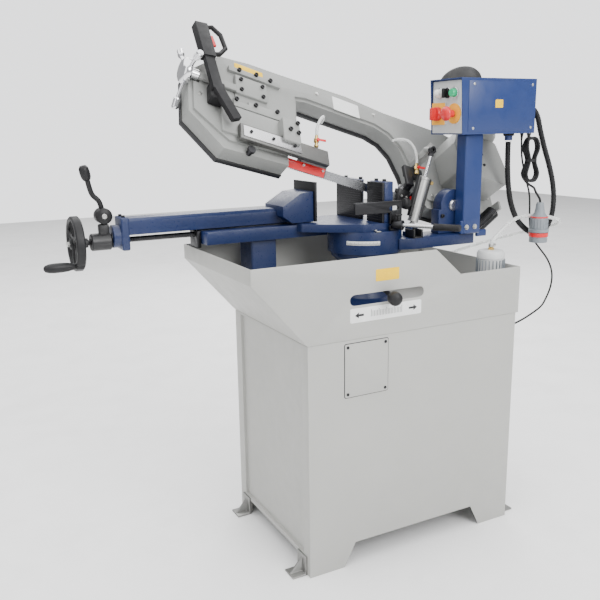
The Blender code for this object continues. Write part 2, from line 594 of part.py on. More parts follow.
def blade_solid():
    bm = bmesh.new()
    rings = []
    upright = pi / 2 - LEAN
    for a, c, tilt, angle in blade_path():
        out = Vector((cos(angle), 0, sin(angle)))
        edge = Vector((0, 1, 0))
        turn = Matrix.Rotation(-upright * tilt, 3, 'X')
        edge, out = turn @ edge, turn @ out
        middle = Vector((a, 0, c))
        rings.append([bm.verts.new(middle + edge * BLADE_W / 2 * e + out * BLADE_T / 2 * o)
                      for e, o in ((-1, -1), (1, -1), (1, 1), (-1, 1))])
    for lower, upper in zip(rings, rings[1:] + rings[:1]):
        for k in range(4):
            bm.faces.new((lower[k], lower[(k + 1) % 4], upper[(k + 1) % 4], upper[k]))
    return mesh_of(bm)


def inset(outline, amount):
    """The outline moved inwards by an amount, for one that runs anticlockwise."""
    result = []
    for i, corner in enumerate(outline):
        corner = Vector(corner)
        before = (corner - Vector(outline[i - 1])).normalized()
        after = (Vector(outline[(i + 1) % len(outline)]) - corner).normalized()
        first, second = Vector((-before.y, before.x)), Vector((-after.y, after.x))
        middle = (first + second) / max(0.3, 1 + first.dot(second))
        result.append(tuple(corner + middle * amount))
    return result


def bow_point(x, y, z):
    """A design-frame point in the bow's own coordinates."""
    return bow_matrix().transposed() @ (Vector((x, y, z)) - Vector(BLADE_POINT))


def make_casting(bow):
    body = prism(FLANGE, -BACK, -RIM, "Y")
    face = prism(FACE, 0.5 - RIM, -FRONT, "Y")
    inside = prism(inset(FLANGE, 4), -PLATE, 40, "Y")
    gibs = [box((-470, -44, 240), (-300, -30, 258), 1), box((-461, -39, 110), (-304, -30, 126)),
            box((-461, -44, 110), (-304, -38, 140), 1)]
    shelf = box((-500, -43, 8), (-290, -30, 108), 2)
    clamp = [box((-322, -72, 40), (-266, -30, 100), 2), box((-322, -72, 18), (-266, -60.5, 60), 2)]
    pivot = bow_point(642.4, 0, 995.5)
    level = bow_matrix().transposed() @ Vector((0, 1, 0))
    boss = rod(pivot + level * (BRACKET_Y[1] + GAP), pivot + level * 285, 34, 28)
    arm = beam((194, -FRONT + 2, 124), (194, -138, 124), 24, 24)
    pin = bow_point(*ROD_PIN)
    holder = rod(pin + level * 10, pin + level * 34, 9, 16)
    reach = beam(Vector((194, -130, 124)), pin + level * 30, 14, 14)
    hook = bow_point(*SPRING_HIGH)
    lug = beam((hook.x, -FRONT + 2, hook.z + 2), (hook.x, hook.y - 4, hook.z + 2), 8, 30)
    openings = [box((-300, -PLATE, -20), (-230, 40, 30)), box((180, -PLATE, -20), (260, 40, 30))]
    axle_slot = box((IDLER_A - 11, -60, WHEEL_C - 11), (IDLER_A + 20, 0, WHEEL_C + 11))
    notch = box((-600, -60, 160), (-560, -24, 196))
    part("bow_casting", bow, PAINT_GREY, [body, face, boss, arm, reach, holder, lug, *gibs, shelf, *clamp],
         [inside, *openings, axle_slot, notch])
    stub = rod(pivot + level * (BRACKET_Y[0] - 0.6), pivot + level * (BRACKET_Y[1] - 0.2), 18, 24)
    part("pivot_shaft", bow, BARE_STEEL, [stub], origin=pivot)


def make_cover(bow):
    rim = prism(inset(FLANGE, -3), -BACK + GAP, -BACK + 16, "Y")
    hollow = prism(inset(FLANGE, 1), -BACK - 1, -BACK + 14, "Y")
    part("blade_cover", bow, PAINT_BLACK, [rim], [hollow])


def make_wheels(bow):
    for name, a in (("idler", IDLER_A), ("drive", DRIVE_A)):
        frame = empty(name + "_frame", bow, (a, 0, WHEEL_C))
        profile = [(9, -13), (30, -13), (30, -6), (112, -6), (112, -13), (WHEEL_R, -13), (WHEEL_R, 13),
                   (112, 13), (112, 6), (30, 6), (30, 13), (9, 13)]
        wheel = turned(profile, (0, 0, 0), (0, -1, 0), 40)
        holes = [rod((72 * cos(t), -20, 72 * sin(t)), (72 * cos(t), 20, 72 * sin(t)), 22, 16)
                 for t in (radians(30 + 60 * k) for k in range(6))]
        part(name + "_wheel", frame, PAINT_GREY, [wheel], holes)
    part("drive_shaft", frame, BARE_STEEL, [rod((0, 16, 0), (0, GAP - PLATE, 0), 8.7, 20)])
    part("blade", bow, BARE_STEEL, [blade_solid()])


def make_drive(bow):
    a, t, front = 431, FRONT + 76, FRONT + GAP
    housing = prism(rounded([(300, 70), (500, 70), (520, 140), (500, 250), (330, 250), (296, 180)], 14, 3),
                    -front - 100, -front, "Y")
    cover = rod((DRIVE_A, -front - 98, WHEEL_C), (DRIVE_A, -front - 106, WHEEL_C), 52, 28)
    flange = turned([(0, 0), (62, 0), (70, 8), (70, 12), (0, 12)], (a, -t, 249), (0, 0, 1), 28)
    part("gearbox", bow, PAINT_GREY, [housing, cover, flange])
    low, mid = 261 + GAP, 470
    body = turned([(0, 0), (66, 0), (66, mid - low), (0, mid - low)], (a, -t, low), (0, 0, 1), 32)
    terminals = box((a - 42, -t - 92, 340), (a + 42, -t - 50, 430), 4)
    part("motor", bow, PAINT_GREY, [body, terminals])
    cowl = turned([(0, 0), (76, 0), (76, 48), (62, 64), (0, 68)], (a, -t, mid + GAP), (0, 0, 1), 32)
    part("fan_cowl", bow, PLASTIC_BLACK, [cowl])


def make_tension(bow):
    """Slide that carries the idler wheel's axle, and the three-armed hub that pulls it along."""
    center = Vector((-566, -40, 178))
    frame = empty("tension_frame", bow, center)
    block = box((-452, -47, 160), (-350, -FRONT - GAP, 228), 2)
    flange = box((-452, -37.6, 127), (-350, -FRONT - GAP, 165))
    tongue = box((-566, -46, 166), (-440, -FRONT - 1, 190), 2)
    axle = rod((IDLER_A, -35, WHEEL_C), (IDLER_A, 16, WHEEL_C), 8.7, 20)
    solids = [block, flange, tongue, axle]
    for solid in solids:
        solid.transform(Matrix.Translation(-center))
    part("tension_slide", frame, PAINT_GREY, solids)
    hub = empty("hub_frame", frame, (-2, 0, 0))
    solids = [turned([(0, GAP), (14, GAP), (14, 25), (34, 25), (34, 44), (27, 50), (0, 52)], (0, 0, 0),
                     (-1, 0, 0), 24)]
    for k in range(3):
        t = radians(75 + 120 * k)
        out = Vector((0, cos(t), sin(t)))
        end = Vector((-38, 0, 0)) + out * 78
        solids.append(rod(Vector((-34, 0, 0)) + out * 30, end, 5, 10))
        solids.append(turned([(0, 0), (8, 0), (10, 6), (10, 26), (0, 32)], end - out * 4, out, 12))
    part("tension_hub", hub, BARE_STEEL, solids)


def guide(low, high):
    """Two jaws either side of the upright blade and the cap that joins them, over a length of the bow."""
    upright = Vector((0, -sin(LEAN), cos(LEAN)))
    across = Vector((0, cos(LEAN), sin(LEAN)))
    along = Vector((1, 0, 0))
    solids = [beam(along * low + upright * 22, along * high + upright * 22, 25, 12, upright)]
    for sign in (-1, 1):
        middle = across * sign * 7.5 + upright * 3
        solids.append(beam(middle + along * low, middle + along * high, 10, 28, upright))
    return solids


def make_guides(bow):
    """Blade guides: the left one hangs on a bar that slides along the casting."""
    center = Vector((-205, -FRONT - 10, 36))
    left = empty("guide_frame", bow, center)
    bar = box((-455, -60, -14), (-166, -43.3, 38), 2)
    block = box((-238, -43, 10), (-172, -18, 40), 2)
    solids = guide(-240, -150)
    for solid in (bar, block, *solids):
        solid.transform(Matrix.Translation(-center))
    part("guide_bar", left, PAINT_BLACK, [bar])
    part("left_guide", left, PAINT_BLACK, [*solids, block])
    plate = box((138, -49, 60), (212, -FRONT - GAP, 100), 2)
    leg = box((138, -49, 24), (166, -37, 100), 2)
    link = beam((152, -42, 33), (152, -12, 19), 24, 12)
    part("right_guide", bow, PAINT_BLACK, [*guide(122, 166), plate, leg, link])


def make_handle(bow):
    """Bar with a grip, its guard loop and the start trigger."""
    top = Vector((-574, -75, 334))
    neck, low = Vector((-528, -75, 118)), Vector((-474, -75, 26))
    along = (neck - top).normalized()
    side = Vector((along.z, 0, -along.x)) * -1
    back = Vector((0, 1, 0))
    shaft = [beam(top + along * 30, neck + along * 6, 30, 16, back),
             beam(neck - along * 4, low, 28, 16, back)]
    grip = beam(top, top + along * 118, 38, 26, back)
    pad = box((-540, -70, 90), (-500, -FRONT - GAP, 150), 3)
    guard = [top + along * 10, top + along * -2 + side * 40, top + along * 22 + side * 62,
             top + along * 70 + side * 66, top + along * 96 + side * 40, top + along * 104]
    part("handle_bar", bow, PLASTIC_BLACK, [grip, *shaft, pad, bent_rod(guard, 7, 10)])
    trigger = empty("trigger_frame", bow, top + along * 34 + side * 19.4)
    lever = beam(side * 7.5, side * 11 + along * 36, 12, 8, back)
    part("trigger", trigger, PLASTIC_RED, [lever])


# ---------------------------------------------------------------- cords

def smooth_route(points, spacing):
    """Points at an even spacing on a Catmull-Rom curve through the route's points."""
    points = [Vector(p) for p in points]
    ends = [points[0] * 2 - points[1], *points, points[-1] * 2 - points[-2]]
    dense = []
    for i in range(1, len(ends) - 2):
        p0, p1, p2, p3 = ends[i - 1:i + 3]
        for k in range(40):
            t = k / 40
            dense.append(0.5 * (2 * p1 + (p2 - p0) * t + (2 * p0 - 5 * p1 + 4 * p2 - p3) * t * t
                                + (3 * p1 - p0 - 3 * p2 + p3) * t ** 3))
    dense.append(points[-1])
    total = sum((b - a).length for a, b in zip(dense, dense[1:]))
    count = max(4, round(total / spacing))
    result, walked, target = [dense[0]], 0, total / count
    for a, b in zip(dense, dense[1:]):
        step = (b - a).length
        while walked + step >= target * len(result) and len(result) < count:
            result.append(a.lerp(b, (target * len(result) - walked) / step))
        walked += step
    result.append(dense[-1])
    return result


def cord(name, frame, look, route, diameter, resolution=2):
    curve = bpy.data.curves.new(name, 'CURVE')
    curve.dimensions = '3D'
    curve.bevel_depth = diameter / 2 * MM
    curve.bevel_resolution = resolution
    curve.use_fill_caps = True
    spline = curve.splines.new('POLY')
    points = smooth_route(route, diameter * 2.5)
    spline.points.add(len(points) - 1)
    for target, point in zip(spline.points, points):
        target.co = (*(point * MM), 1)
    curve.materials.append(look)
    obj = bpy.data.objects.new(name, curve)
    bpy.context.collection.objects.link(obj)
    obj.parent = frame


def make_cables(table):
    base = Vector((*MITRE, 0))
    away = Matrix.Translation(-base)
    ends = [point + way * 26 for point, way in CONDUIT_EXITS]
    cord("conduit", table, RUBBER, [Vector(p) - base for p in (ends[0], *CONDUIT_ROUTE, ends[1])], 19)
    (x0, x1), (z0, z1) = HANK_X, HANK_Z
    hank = prism(rounded([(x0, z0), (x1, z0), (x1, z1), (x0, z1)], 22, 5), *HANK_Y, "Y")
    hank.transform(away)
    part("mains_hank", table, RUBBER, [hank])
    cord("mains_cable", table, RUBBER, [Vector(p) - base for p in CABLE_ROUTE], 7.5)
    cord("pump_cable", table, RUBBER, [Vector(p) - base for p in PUMP_CABLE_ROUTE], 6)
    plug = [(0, 0), (16, 0), (20, 14), (21, 58), (31, 70), (31, 112), (33, 114), (33, 130), (0, 130)]
    part("mains_plug", table, PLASTIC_RED, [turned(plug, Vector(PLUG_TOP) - base, (0, 0, -1), 24)],
         origin=Vector(PLUG_TOP) - base)


def make_pump_hose():
    cord("pump_hose", stand, PLASTIC_WHITE, HOSE_ROUTE, 12)


def centre_base():
    """Move the stand so that the saw without its cords is centred on the origin, feet on the floor."""
    bpy.context.view_layer.update()
    low, high = Vector((1e9,) * 3), Vector((-1e9,) * 3)
    for obj in bpy.data.objects:
        if obj.type != 'MESH' or obj.name in CORD_PIECES:
            continue
        for vert in obj.data.vertices:
            point = obj.matrix_world @ vert.co
            low = Vector(map(min, low, point))
            high = Vector(map(max, high, point))
    stand.location = (-(low.x + high.x) / 2, -(low.y + high.y) / 2, -low.z)


def bow_matrix():
    """Columns are the bow's own axes: along the blade, to the back of the bow, and up its lean."""
    return Matrix.Rotation(RAISE, 3, 'Y') @ Matrix.Rotation(-LEAN, 3, 'X')


CORD_PIECES = ("conduit", "mains_hank", "mains_cable", "mains_plug", "pump_cable", "pump_hose")


def build():
    make_stand()
    make_tray()
    make_pump()
    make_base()
    make_vice()
    make_ram()
    make_lock_lever()
    make_stop()
    table = empty("turntable_frame", stand, (*MITRE, 0))
    make_turntable(table)
    make_control_box(table)
    make_feed(table)
    make_spring(table)
    bow = empty("bow_frame", table, Vector(BLADE_POINT) - Vector((*MITRE, 0)), bow_matrix())
    make_casting(bow)
    make_cover(bow)
    make_wheels(bow)
    make_drive(bow)
    make_tension(bow)
    make_guides(bow)
    make_handle(bow)
    make_cables(table)
    make_pump_hose()
    centre_base()


build()
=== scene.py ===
"""Horizontal metal-cutting band saw: the finished look of each piece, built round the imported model.

Lengths in the drawing functions are in millimetres in the saw's own frame, which has its corner at the
cabinet's front left foot: X along the blade, Y to the back, Z up. The bow's frame has X along the blade,
Y to the back of the bow and Z up its lean, with its origin on the blade over the mitre axis.
"""

import json
from math import acos, cos, pi, radians, sin

import bmesh
import bpy
from bpy.props import FloatProperty, FloatVectorProperty, IntProperty, PointerProperty
from mathutils import Matrix, Vector
from mathutils.bvhtree import BVHTree

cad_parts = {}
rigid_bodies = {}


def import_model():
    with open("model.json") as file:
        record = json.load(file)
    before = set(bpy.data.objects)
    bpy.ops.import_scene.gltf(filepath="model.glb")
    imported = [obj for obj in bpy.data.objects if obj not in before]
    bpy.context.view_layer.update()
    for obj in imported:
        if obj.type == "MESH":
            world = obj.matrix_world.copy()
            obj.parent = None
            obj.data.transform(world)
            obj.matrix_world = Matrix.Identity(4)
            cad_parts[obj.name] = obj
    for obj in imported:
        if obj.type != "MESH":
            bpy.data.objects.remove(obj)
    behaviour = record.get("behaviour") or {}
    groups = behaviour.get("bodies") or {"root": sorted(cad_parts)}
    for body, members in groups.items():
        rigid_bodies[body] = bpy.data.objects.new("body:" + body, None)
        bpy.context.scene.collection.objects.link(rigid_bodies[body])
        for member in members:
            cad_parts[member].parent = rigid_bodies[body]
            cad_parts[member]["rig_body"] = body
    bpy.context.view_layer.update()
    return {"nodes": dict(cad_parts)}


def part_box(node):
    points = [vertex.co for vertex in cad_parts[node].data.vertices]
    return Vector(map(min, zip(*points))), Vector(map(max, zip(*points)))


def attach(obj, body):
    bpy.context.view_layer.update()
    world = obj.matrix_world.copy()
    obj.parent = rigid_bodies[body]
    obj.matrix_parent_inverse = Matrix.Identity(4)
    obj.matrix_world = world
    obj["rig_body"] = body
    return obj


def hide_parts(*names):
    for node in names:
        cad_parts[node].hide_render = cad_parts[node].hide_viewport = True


bl_info = {
    "name": "Cabinet band saw",
    "version": (1, 0, 0),
    "blender": (4, 5, 0),
    "location": "3D View > Sidebar > Band Saw",
    "description": "Builds the finished pieces of a horizontal metal-cutting band saw",
    "category": "Object",
}

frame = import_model()

MM = 0.001
CABINET_CORNER = Vector((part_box("cabinet")[0].x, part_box("cabinet")[0].y, 0))
DESIGN = Matrix.Translation(CABINET_CORNER) @ Matrix.Scale(MM, 4)
BLADE_POINT = Vector((360, 295, 1061))
RAISE, LEAN = radians(17.2), radians(38)
BOW = (DESIGN @ Matrix.Translation(BLADE_POINT)
       @ (Matrix.Rotation(RAISE, 3, 'Y') @ Matrix.Rotation(-LEAN, 3, 'X')).to_4x4())
MITRE = Vector((363, 295, 0))
UPRIGHT = Vector((0, -sin(LEAN), cos(LEAN)))
ACROSS = Vector((0, cos(LEAN), sin(LEAN)))

# Blade wheels, in the bow's X and Z
IDLER_A, DRIVE_A, WHEEL_C = -434, 368, 140

# Feed cylinder and balance spring
FOOT_PIN, ROD_PIN = Vector((500, 240, 936)), Vector((574, 240, 1168))
SPRING_LOW, SPRING_HIGH = Vector((736, 228, 905)), Vector((845, 228, 979))

# Control box
BOX_X, BOX_Y, BOX_Z = (604, 899), (143, 294), (1214, 1379)
PANEL_X = BOX_X[0] + 6.7
PANEL_LEFT, PANEL_RIGHT = BOX_Y[1] - 40, BOX_Y[0] + 38
PANEL_HIGH, PANEL_LOW = BOX_Z[1] - 42, BOX_Z[0] + 62

# Cords: listed route points
CONDUIT_ROUTE = ((846, 200, 1188), (846, 200, 1160), (849, 200, 1100), (857, 200, 1040), (872, 200, 985),
                 (900, 200, 935), (940, 200, 900), (985, 200, 880), (1030, 200, 892), (1056, 200, 935),
                 (1062, 200, 990), (1052, 200, 1050), (1030, 200, 1110), (1005, 200, 1165), (984, 201, 1220),
                 (972, 204, 1262), (955, 205, 1285), (938, 205, 1290), (925, 205, 1290))
PUMP_CABLE_ROUTE = ((888, 185, 1213.7), (888, 185, 1190), (892, 184, 1140), (908, 182.5, 1080), (926, 182, 1035),
                    (934, 183, 1010), (940, 186, 980), (944, 186.2, 930), (954, 186.2, 880), (980, 183, 845),
                    (1016, 168, 795), (1022, 150, 752), (1000, 130, 710), (957, 110, 671), (916, 92, 654),
                    (835, 66, 639), (775, 55, 628), (722.3, 52, 620))
HOSE_ROUTE = ((674, 68, 872.6), (674, 68, 886), (682, 67, 902), (712, 74, 920), (770, 100, 940),
              (840, 135, 950), (905, 163, 949), (948, 176.3, 946), (1000, 172, 940), (1060, 170, 925),
              (1088, 205, 905), (1088, 270, 885), (1040, 340, 860), (950, 385, 835), (850, 398, 815),
              (790, 400, 803), (760, 400, 796), (731.9, 400, 795))
PLUG_TOP = Vector((948, 148, 992))


# ---------------------------------------------------------------- properties

def tone(name, description, default):
    return FloatVectorProperty(name=name, description=description, default=default, size=3, min=0, max=1,
                               subtype='COLOR')


def length(name, description, default):
    return FloatProperty(name=name, description=description, default=default, min=0, unit='LENGTH',
                         subtype='DISTANCE')


class SawColours(bpy.types.PropertyGroup):
    """Finishes of the saw."""
    stand: tone("Stand", "Powder coat of the cabinet and the chip tray", (0.385, 0.385, 0.365))
    bow: tone("Bow", "Paint of the saw bow and the motor", (0.245, 0.25, 0.24))
    castings: tone("Castings", "Paint of the vice, the turntable and the control box", (0.008, 0.019, 0.075))
    dark: tone("Dark parts", "Black paint, plastic and rubber", (0.008, 0.008, 0.009))
    stop: tone("Stop", "Stop button, main switch and blade guards", (0.62, 0.018, 0.022))
    plate: tone("Plates", "Yellow switch plates", (0.90, 0.42, 0.03))
    start: tone("Start", "Start button", (0.0, 0.42, 0.17))


class SawSizes(bpy.types.PropertyGroup):
    """Small sizes of the saw's details."""
    edge: length("Casting edge", "Radius of the painted castings' edges", 0.003)
    fold: length("Sheet fold", "Radius of the sheet metal's folds", 0.0015)
    tooth: length("Tooth pitch", "Distance between two teeth of the blade", 0.0064)
    thread: length("Thread pitch", "Distance between two turns of the vice screw", 0.005)
    fins: IntProperty(name="Motor fins", description="Cooling fins round the motor", default=36, min=8, max=72)
    turns: IntProperty(name="Spring turns", description="Turns of the balance spring", default=16, min=4, max=30)


def colours():
    return bpy.context.scene.saw_colours


def sizes():
    return bpy.context.scene.saw_sizes


# ---------------------------------------------------------------- materials

LOOKS = {}


class Look:
    """A node material under construction, on object coordinates."""

    def __init__(self, name, color, roughness, metallic=0.0):
        self.material = bpy.data.materials.new(name)
        self.material.use_nodes = True
        self.nodes = self.material.node_tree.nodes
        self.links = self.material.node_tree.links
        self.shader = self.nodes["Principled BSDF"]
        self.shader.inputs["Metallic"].default_value = metallic
        self.shader.inputs["Roughness"].default_value = roughness
        self.shader.inputs["Base Color"].default_value = (*color, 1)
        self.where = self.nodes.new("ShaderNodeTexCoord").outputs["Object"]

    def noise(self, scale, detail=4.0, stretch=None, roughness=0.5):
        """Noise in metres of the object, stretched along an axis if asked; scale is in features per metre."""
        source = self.where
        if stretch:
            mapping = self.nodes.new("ShaderNodeMapping")
            mapping.inputs["Scale"].default_value = stretch
            self.links.new(source, mapping.inputs["Vector"])
            source = mapping.outputs["Vector"]
        noise = self.nodes.new("ShaderNodeTexNoise")
        noise.inputs["Scale"].default_value = scale
        noise.inputs["Detail"].default_value = detail
        noise.inputs["Roughness"].default_value = roughness
        self.links.new(source, noise.inputs["Vector"])
        return noise.outputs["Fac"]

    def span(self, factor, low, high, start=0.3, end=0.7):
        node = self.nodes.new("ShaderNodeMapRange")
        for key, value in (("From Min", start), ("From Max", end), ("To Min", low), ("To Max", high)):
            node.inputs[key].default_value = value
        self.links.new(factor, node.inputs["Value"])
        return node.outputs["Result"]

    def blend(self, factor, first, second):
        """Mix of two colours; each is a tuple or an output."""
        node = self.nodes.new("ShaderNodeMix")
        node.data_type = 'RGBA'
        self.links.new(factor, node.inputs["Factor"])
        for socket, value in ((node.inputs[6], first), (node.inputs[7], second)):
            if isinstance(value, tuple):
                socket.default_value = (*value, 1)
            else:
                self.links.new(value, socket)
        return node.outputs[2]

    def bump(self, height, strength, distance, below=None):
        node = self.nodes.new("ShaderNodeBump")
        node.inputs["Strength"].default_value = strength
        node.inputs["Distance"].default_value = distance
        self.links.new(height, node.inputs["Height"])
        if below is not None:
            self.links.new(below, node.inputs["Normal"])
        return node.outputs["Normal"]

    def use(self, **sockets):
        for key, value in sockets.items():
            self.links.new(value, self.shader.inputs[key.replace("_", " ")])
        return self.material


def shade(color, amount):
    return tuple(min(1.0, c * amount) for c in color)


def powder_coat(name, color, roughness=0.48):
    """Fine orange peel, faint cloudiness, and a little grime."""
    look = Look(name, color, roughness)
    cloud = look.blend(look.noise(5, 3), shade(color, 0.93), shade(color, 1.04))
    grime = look.span(look.noise(2.3, 6, roughness=0.65), 0, 0.32, 0.52, 0.80)
    tint = look.blend(grime, cloud, shade(color, 0.72))
    peel = look.bump(look.noise(900, 2), 0.18, 0.0004)
    rough = look.span(look.noise(30, 4), roughness - 0.07, roughness + 0.09)
    return look.use(Base_Color=tint, Normal=peel, Roughness=rough)


def casting_paint(name, color, roughness=0.38):
    """Paint over a rough casting: a pebbled skin, a cloudy tone and small chips."""
    look = Look(name, color, roughness)
    skin = look.noise(190, 5, roughness=0.6)
    tint = look.blend(look.noise(9, 4), shade(color, 0.86), shade(color, 1.10))
    chips = look.span(look.noise(64, 6, roughness=0.75), 0, 1, 0.735, 0.755)
    tint = look.blend(chips, tint, shade(color, 0.45))
    fine = look.bump(skin, 0.35, 0.0011)
    waves = look.bump(look.noise(28, 2), 0.25, 0.004, fine)
    rough = look.span(skin, roughness - 0.1, roughness + 0.14)
    return look.use(Base_Color=tint, Normal=waves, Roughness=rough)


def machined(name, color, roughness=0.28, along=(1, 14, 14), lines=170):
    """Bare metal with fine tool marks along one direction and faint smears."""
    look = Look(name, color, roughness, 1.0)
    marks = look.noise(lines, 5, stretch=along)
    smear = look.noise(14, 4)
    tint = look.blend(smear, shade(color, 0.86), shade(color, 1.06))
    normal = look.bump(marks, 0.22, 0.0004)
    rough = look.span(marks, roughness - 0.08, roughness + 0.14)
    return look.use(Base_Color=tint, Normal=normal, Roughness=rough)


def plated(name, color, roughness=0.12):
    """Bright plating with slight waviness and fingerprints."""
    look = Look(name, color, roughness, 1.0)
    prints = look.noise(70, 6, roughness=0.7)
    tint = look.blend(look.noise(20, 3), shade(color, 0.92), shade(color, 1.0))
    normal = look.bump(look.noise(60, 2), 0.06, 0.0008)
    rough = look.span(prints, roughness - 0.03, roughness + 0.13)
    return look.use(Base_Color=tint, Normal=normal, Roughness=rough)


def moulded(name, color, roughness=0.5, grain=700, coat=0.0):
    """Moulded plastic with a spark-eroded grain and rubbed, paler patches."""
    look = Look(name, color, roughness)
    look.shader.inputs["Coat Weight"].default_value = coat
    worn = look.span(look.noise(40, 5, roughness=0.7), 0, 0.5, 0.5, 0.8)
    pale = tuple(min(1.0, c * 1.25 + 0.004) for c in color)
    look.shader.inputs["Specular IOR Level"].default_value = 0.32
    tint = look.blend(worn, color, pale)
    normal = look.bump(look.noise(grain, 3), 0.22, 0.0004)
    rough = look.span(look.noise(55, 4), roughness - 0.08, roughness + 0.1)
    return look.use(Base_Color=tint, Normal=normal, Roughness=rough)


def rubbery(name, color, roughness=0.62):
    """Cable jacket with dust in its pores."""
    look = Look(name, color, roughness)
    look.shader.inputs["Specular IOR Level"].default_value = 0.3
    dust = look.span(look.noise(120, 6, roughness=0.7), 0, 0.35, 0.5, 0.8)
    tint = look.blend(dust, color, tuple(c + 0.05 for c in color))
    normal = look.bump(look.noise(1100, 2), 0.25, 0.0003)
    rough = look.span(look.noise(80, 3), roughness - 0.1, roughness + 0.1)
    return look.use(Base_Color=tint, Normal=normal, Roughness=rough)


def milky_tube(name):
    """Translucent hose, a little yellowed inside."""
    look = Look(name, (0.80, 0.81, 0.80), 0.25)
    look.shader.inputs["Transmission Weight"].default_value = 0.35
    look.shader.inputs["IOR"].default_value = 1.4
    tint = look.blend(look.noise(60, 4), (0.70, 0.715, 0.70), (0.86, 0.87, 0.86))
    normal = look.bump(look.noise(90, 2), 0.1, 0.0006)
    rough = look.span(look.noise(35, 3), 0.18, 0.34)
    return look.use(Base_Color=tint, Normal=normal, Roughness=rough)


def looks():
    """All the finishes, made once."""
    if LOOKS:
        return LOOKS
    c = colours()
    stand, bow, castings, dark = tuple(c.stand), tuple(c.bow), tuple(c.castings), tuple(c.dark)
    LOOKS.update(
        coat=powder_coat("stand powder coat", stand),
        galvanised=machined("galvanised inside", (0.30, 0.30, 0.29), 0.45, (1, 1, 1), 60),
        bow=casting_paint("bow casting paint", bow, 0.36),
        bow_sheet=powder_coat("bow sheet paint", shade(bow, 0.98), 0.4),
        casting=casting_paint("blue casting paint", castings, 0.34),
        blue_sheet=powder_coat("blue sheet paint", shade(castings, 1.75), 0.36),
        black_coat=powder_coat("black powder coat", shade(dark, 1.2), 0.42),
        plastic=moulded("black moulded plastic", dark, 0.46),
        grip=moulded("grip plastic", shade(dark, 1.3), 0.6, 420),
        grey_plastic=moulded("grey plug plastic", (0.20, 0.22, 0.24), 0.45),
        pale_plastic=moulded("pale lens plastic", (0.80, 0.80, 0.77), 0.3, 300, 0.4),
        panel=moulded("panel plastic", (0.55, 0.56, 0.56), 0.42, 900),
        red=moulded("red plastic", tuple(c.stop), 0.32, 600, 0.35),
        orange=moulded("yellow plastic", tuple(c.plate), 0.42),
        green=moulded("green plastic", tuple(c.start), 0.3, 600, 0.4),
        label=moulded("yellow label", (0.84, 0.52, 0.0), 0.38, 200),
        paper=moulded("pale label", (0.74, 0.75, 0.74), 0.42, 200),
        ink=moulded("printed black", (0.02, 0.02, 0.022), 0.5, 200),
        steel=machined("machined steel", (0.58, 0.58, 0.59)),
        turned_steel=machined("turned steel", (0.60, 0.60, 0.61), 0.24, (14, 1, 1)),
        dark_steel=machined("oiled dark steel", (0.045, 0.045, 0.048), 0.36, (1, 6, 6), 120),
        guide_iron=machined("ground guide iron", (0.17, 0.17, 0.165), 0.42, (1, 8, 8), 150),
        blade=machined("blade steel", (0.50, 0.51, 0.53), 0.26, (1, 20, 20), 200),
        screw=plated("zinc screw", (0.62, 0.62, 0.60), 0.24),
        black_screw=machined("black oxide screw", (0.05, 0.05, 0.052), 0.34, (1, 1, 1), 200),
        chrome=plated("chrome plating", (0.80, 0.80, 0.82), 0.08),
        brass=plated("brass", (0.72, 0.52, 0.20), 0.2),
        alloy=machined("cast aluminium", (0.46, 0.46, 0.45), 0.42, (1, 1, 1), 220),
        rubber=rubbery("black cable jacket", shade(dark, 1.1)),
        hose=milky_tube("milky hose"))
    return LOOKS


# ---------------------------------------------------------------- solids, in millimetres

def box(low, high, edge=0.8, steps=2):
    bm = bmesh.new()
    bmesh.ops.create_cube(bm, size=1)
    for vert in bm.verts:
        vert.co = [low[k] + (vert.co[k] + 0.5) * (high[k] - low[k]) for k in range(3)]
    if edge:
        least = min(abs(high[k] - low[k]) for k in range(3))
        bmesh.ops.bevel(bm, geom=bm.edges[:], offset=min(edge, least * 0.3), segments=steps, affect='EDGES',
                        profile=0.5, clamp_overlap=True)
    return bm


def sharp_edges(bm, least=28):
    return [e for e in bm.edges if len(e.link_faces) == 2 and e.calc_face_angle(0) > radians(least)]


def prism(outline, start, end, axis="Z", edge=0.8, steps=2):
    """Extrude an outline; its two coordinates are the axes other than the given one, in X, Y, Z order."""
    index = "XYZ".index(axis)
    bm = bmesh.new()
    verts = []
    for first, second in outline:
        point = [first, second]
        point.insert(index, start)
        verts.append(bm.verts.new(point))
    moved = bmesh.ops.extrude_face_region(bm, geom=[bm.faces.new(verts)])["geom"]
    shift = Vector((0, 0, 0))
    shift[index] = end - start
    bmesh.ops.translate(bm, verts=[g for g in moved if isinstance(g, bmesh.types.BMVert)], vec=shift)
    bmesh.ops.recalc_face_normals(bm, faces=bm.faces)
    if edge:
        bmesh.ops.bevel(bm, geom=sharp_edges(bm), offset=edge, segments=steps, affect='EDGES', profile=0.5,
                        clamp_overlap=True)
    return bm


def rounded(points, radius, steps=4):
    """Outline with every corner turned into an arc."""
    result = []
    count = len(points)
    for i, corner in enumerate(points):
        corner = Vector(corner)
        before = Vector(points[i - 1]) - corner
        after = Vector(points[(i + 1) % count]) - corner
        half = acos(max(-1, min(1, before.normalized().dot(after.normalized())))) / 2
        reach = min(radius / max(0.01, abs(sin(half) / cos(half))), before.length / 2.1, after.length / 2.1)
        begin, last = corner + before.normalized() * reach, corner + after.normalized() * reach
        for k in range(steps + 1):
            t = k / steps
            result.append(tuple(begin * (1 - t) ** 2 + corner * 2 * t * (1 - t) + last * t ** 2))
    return result


def oblong(low, high, radius, steps=6):
    return rounded([low, (high[0], low[1]), high, (low[0], high[1])], radius, steps)


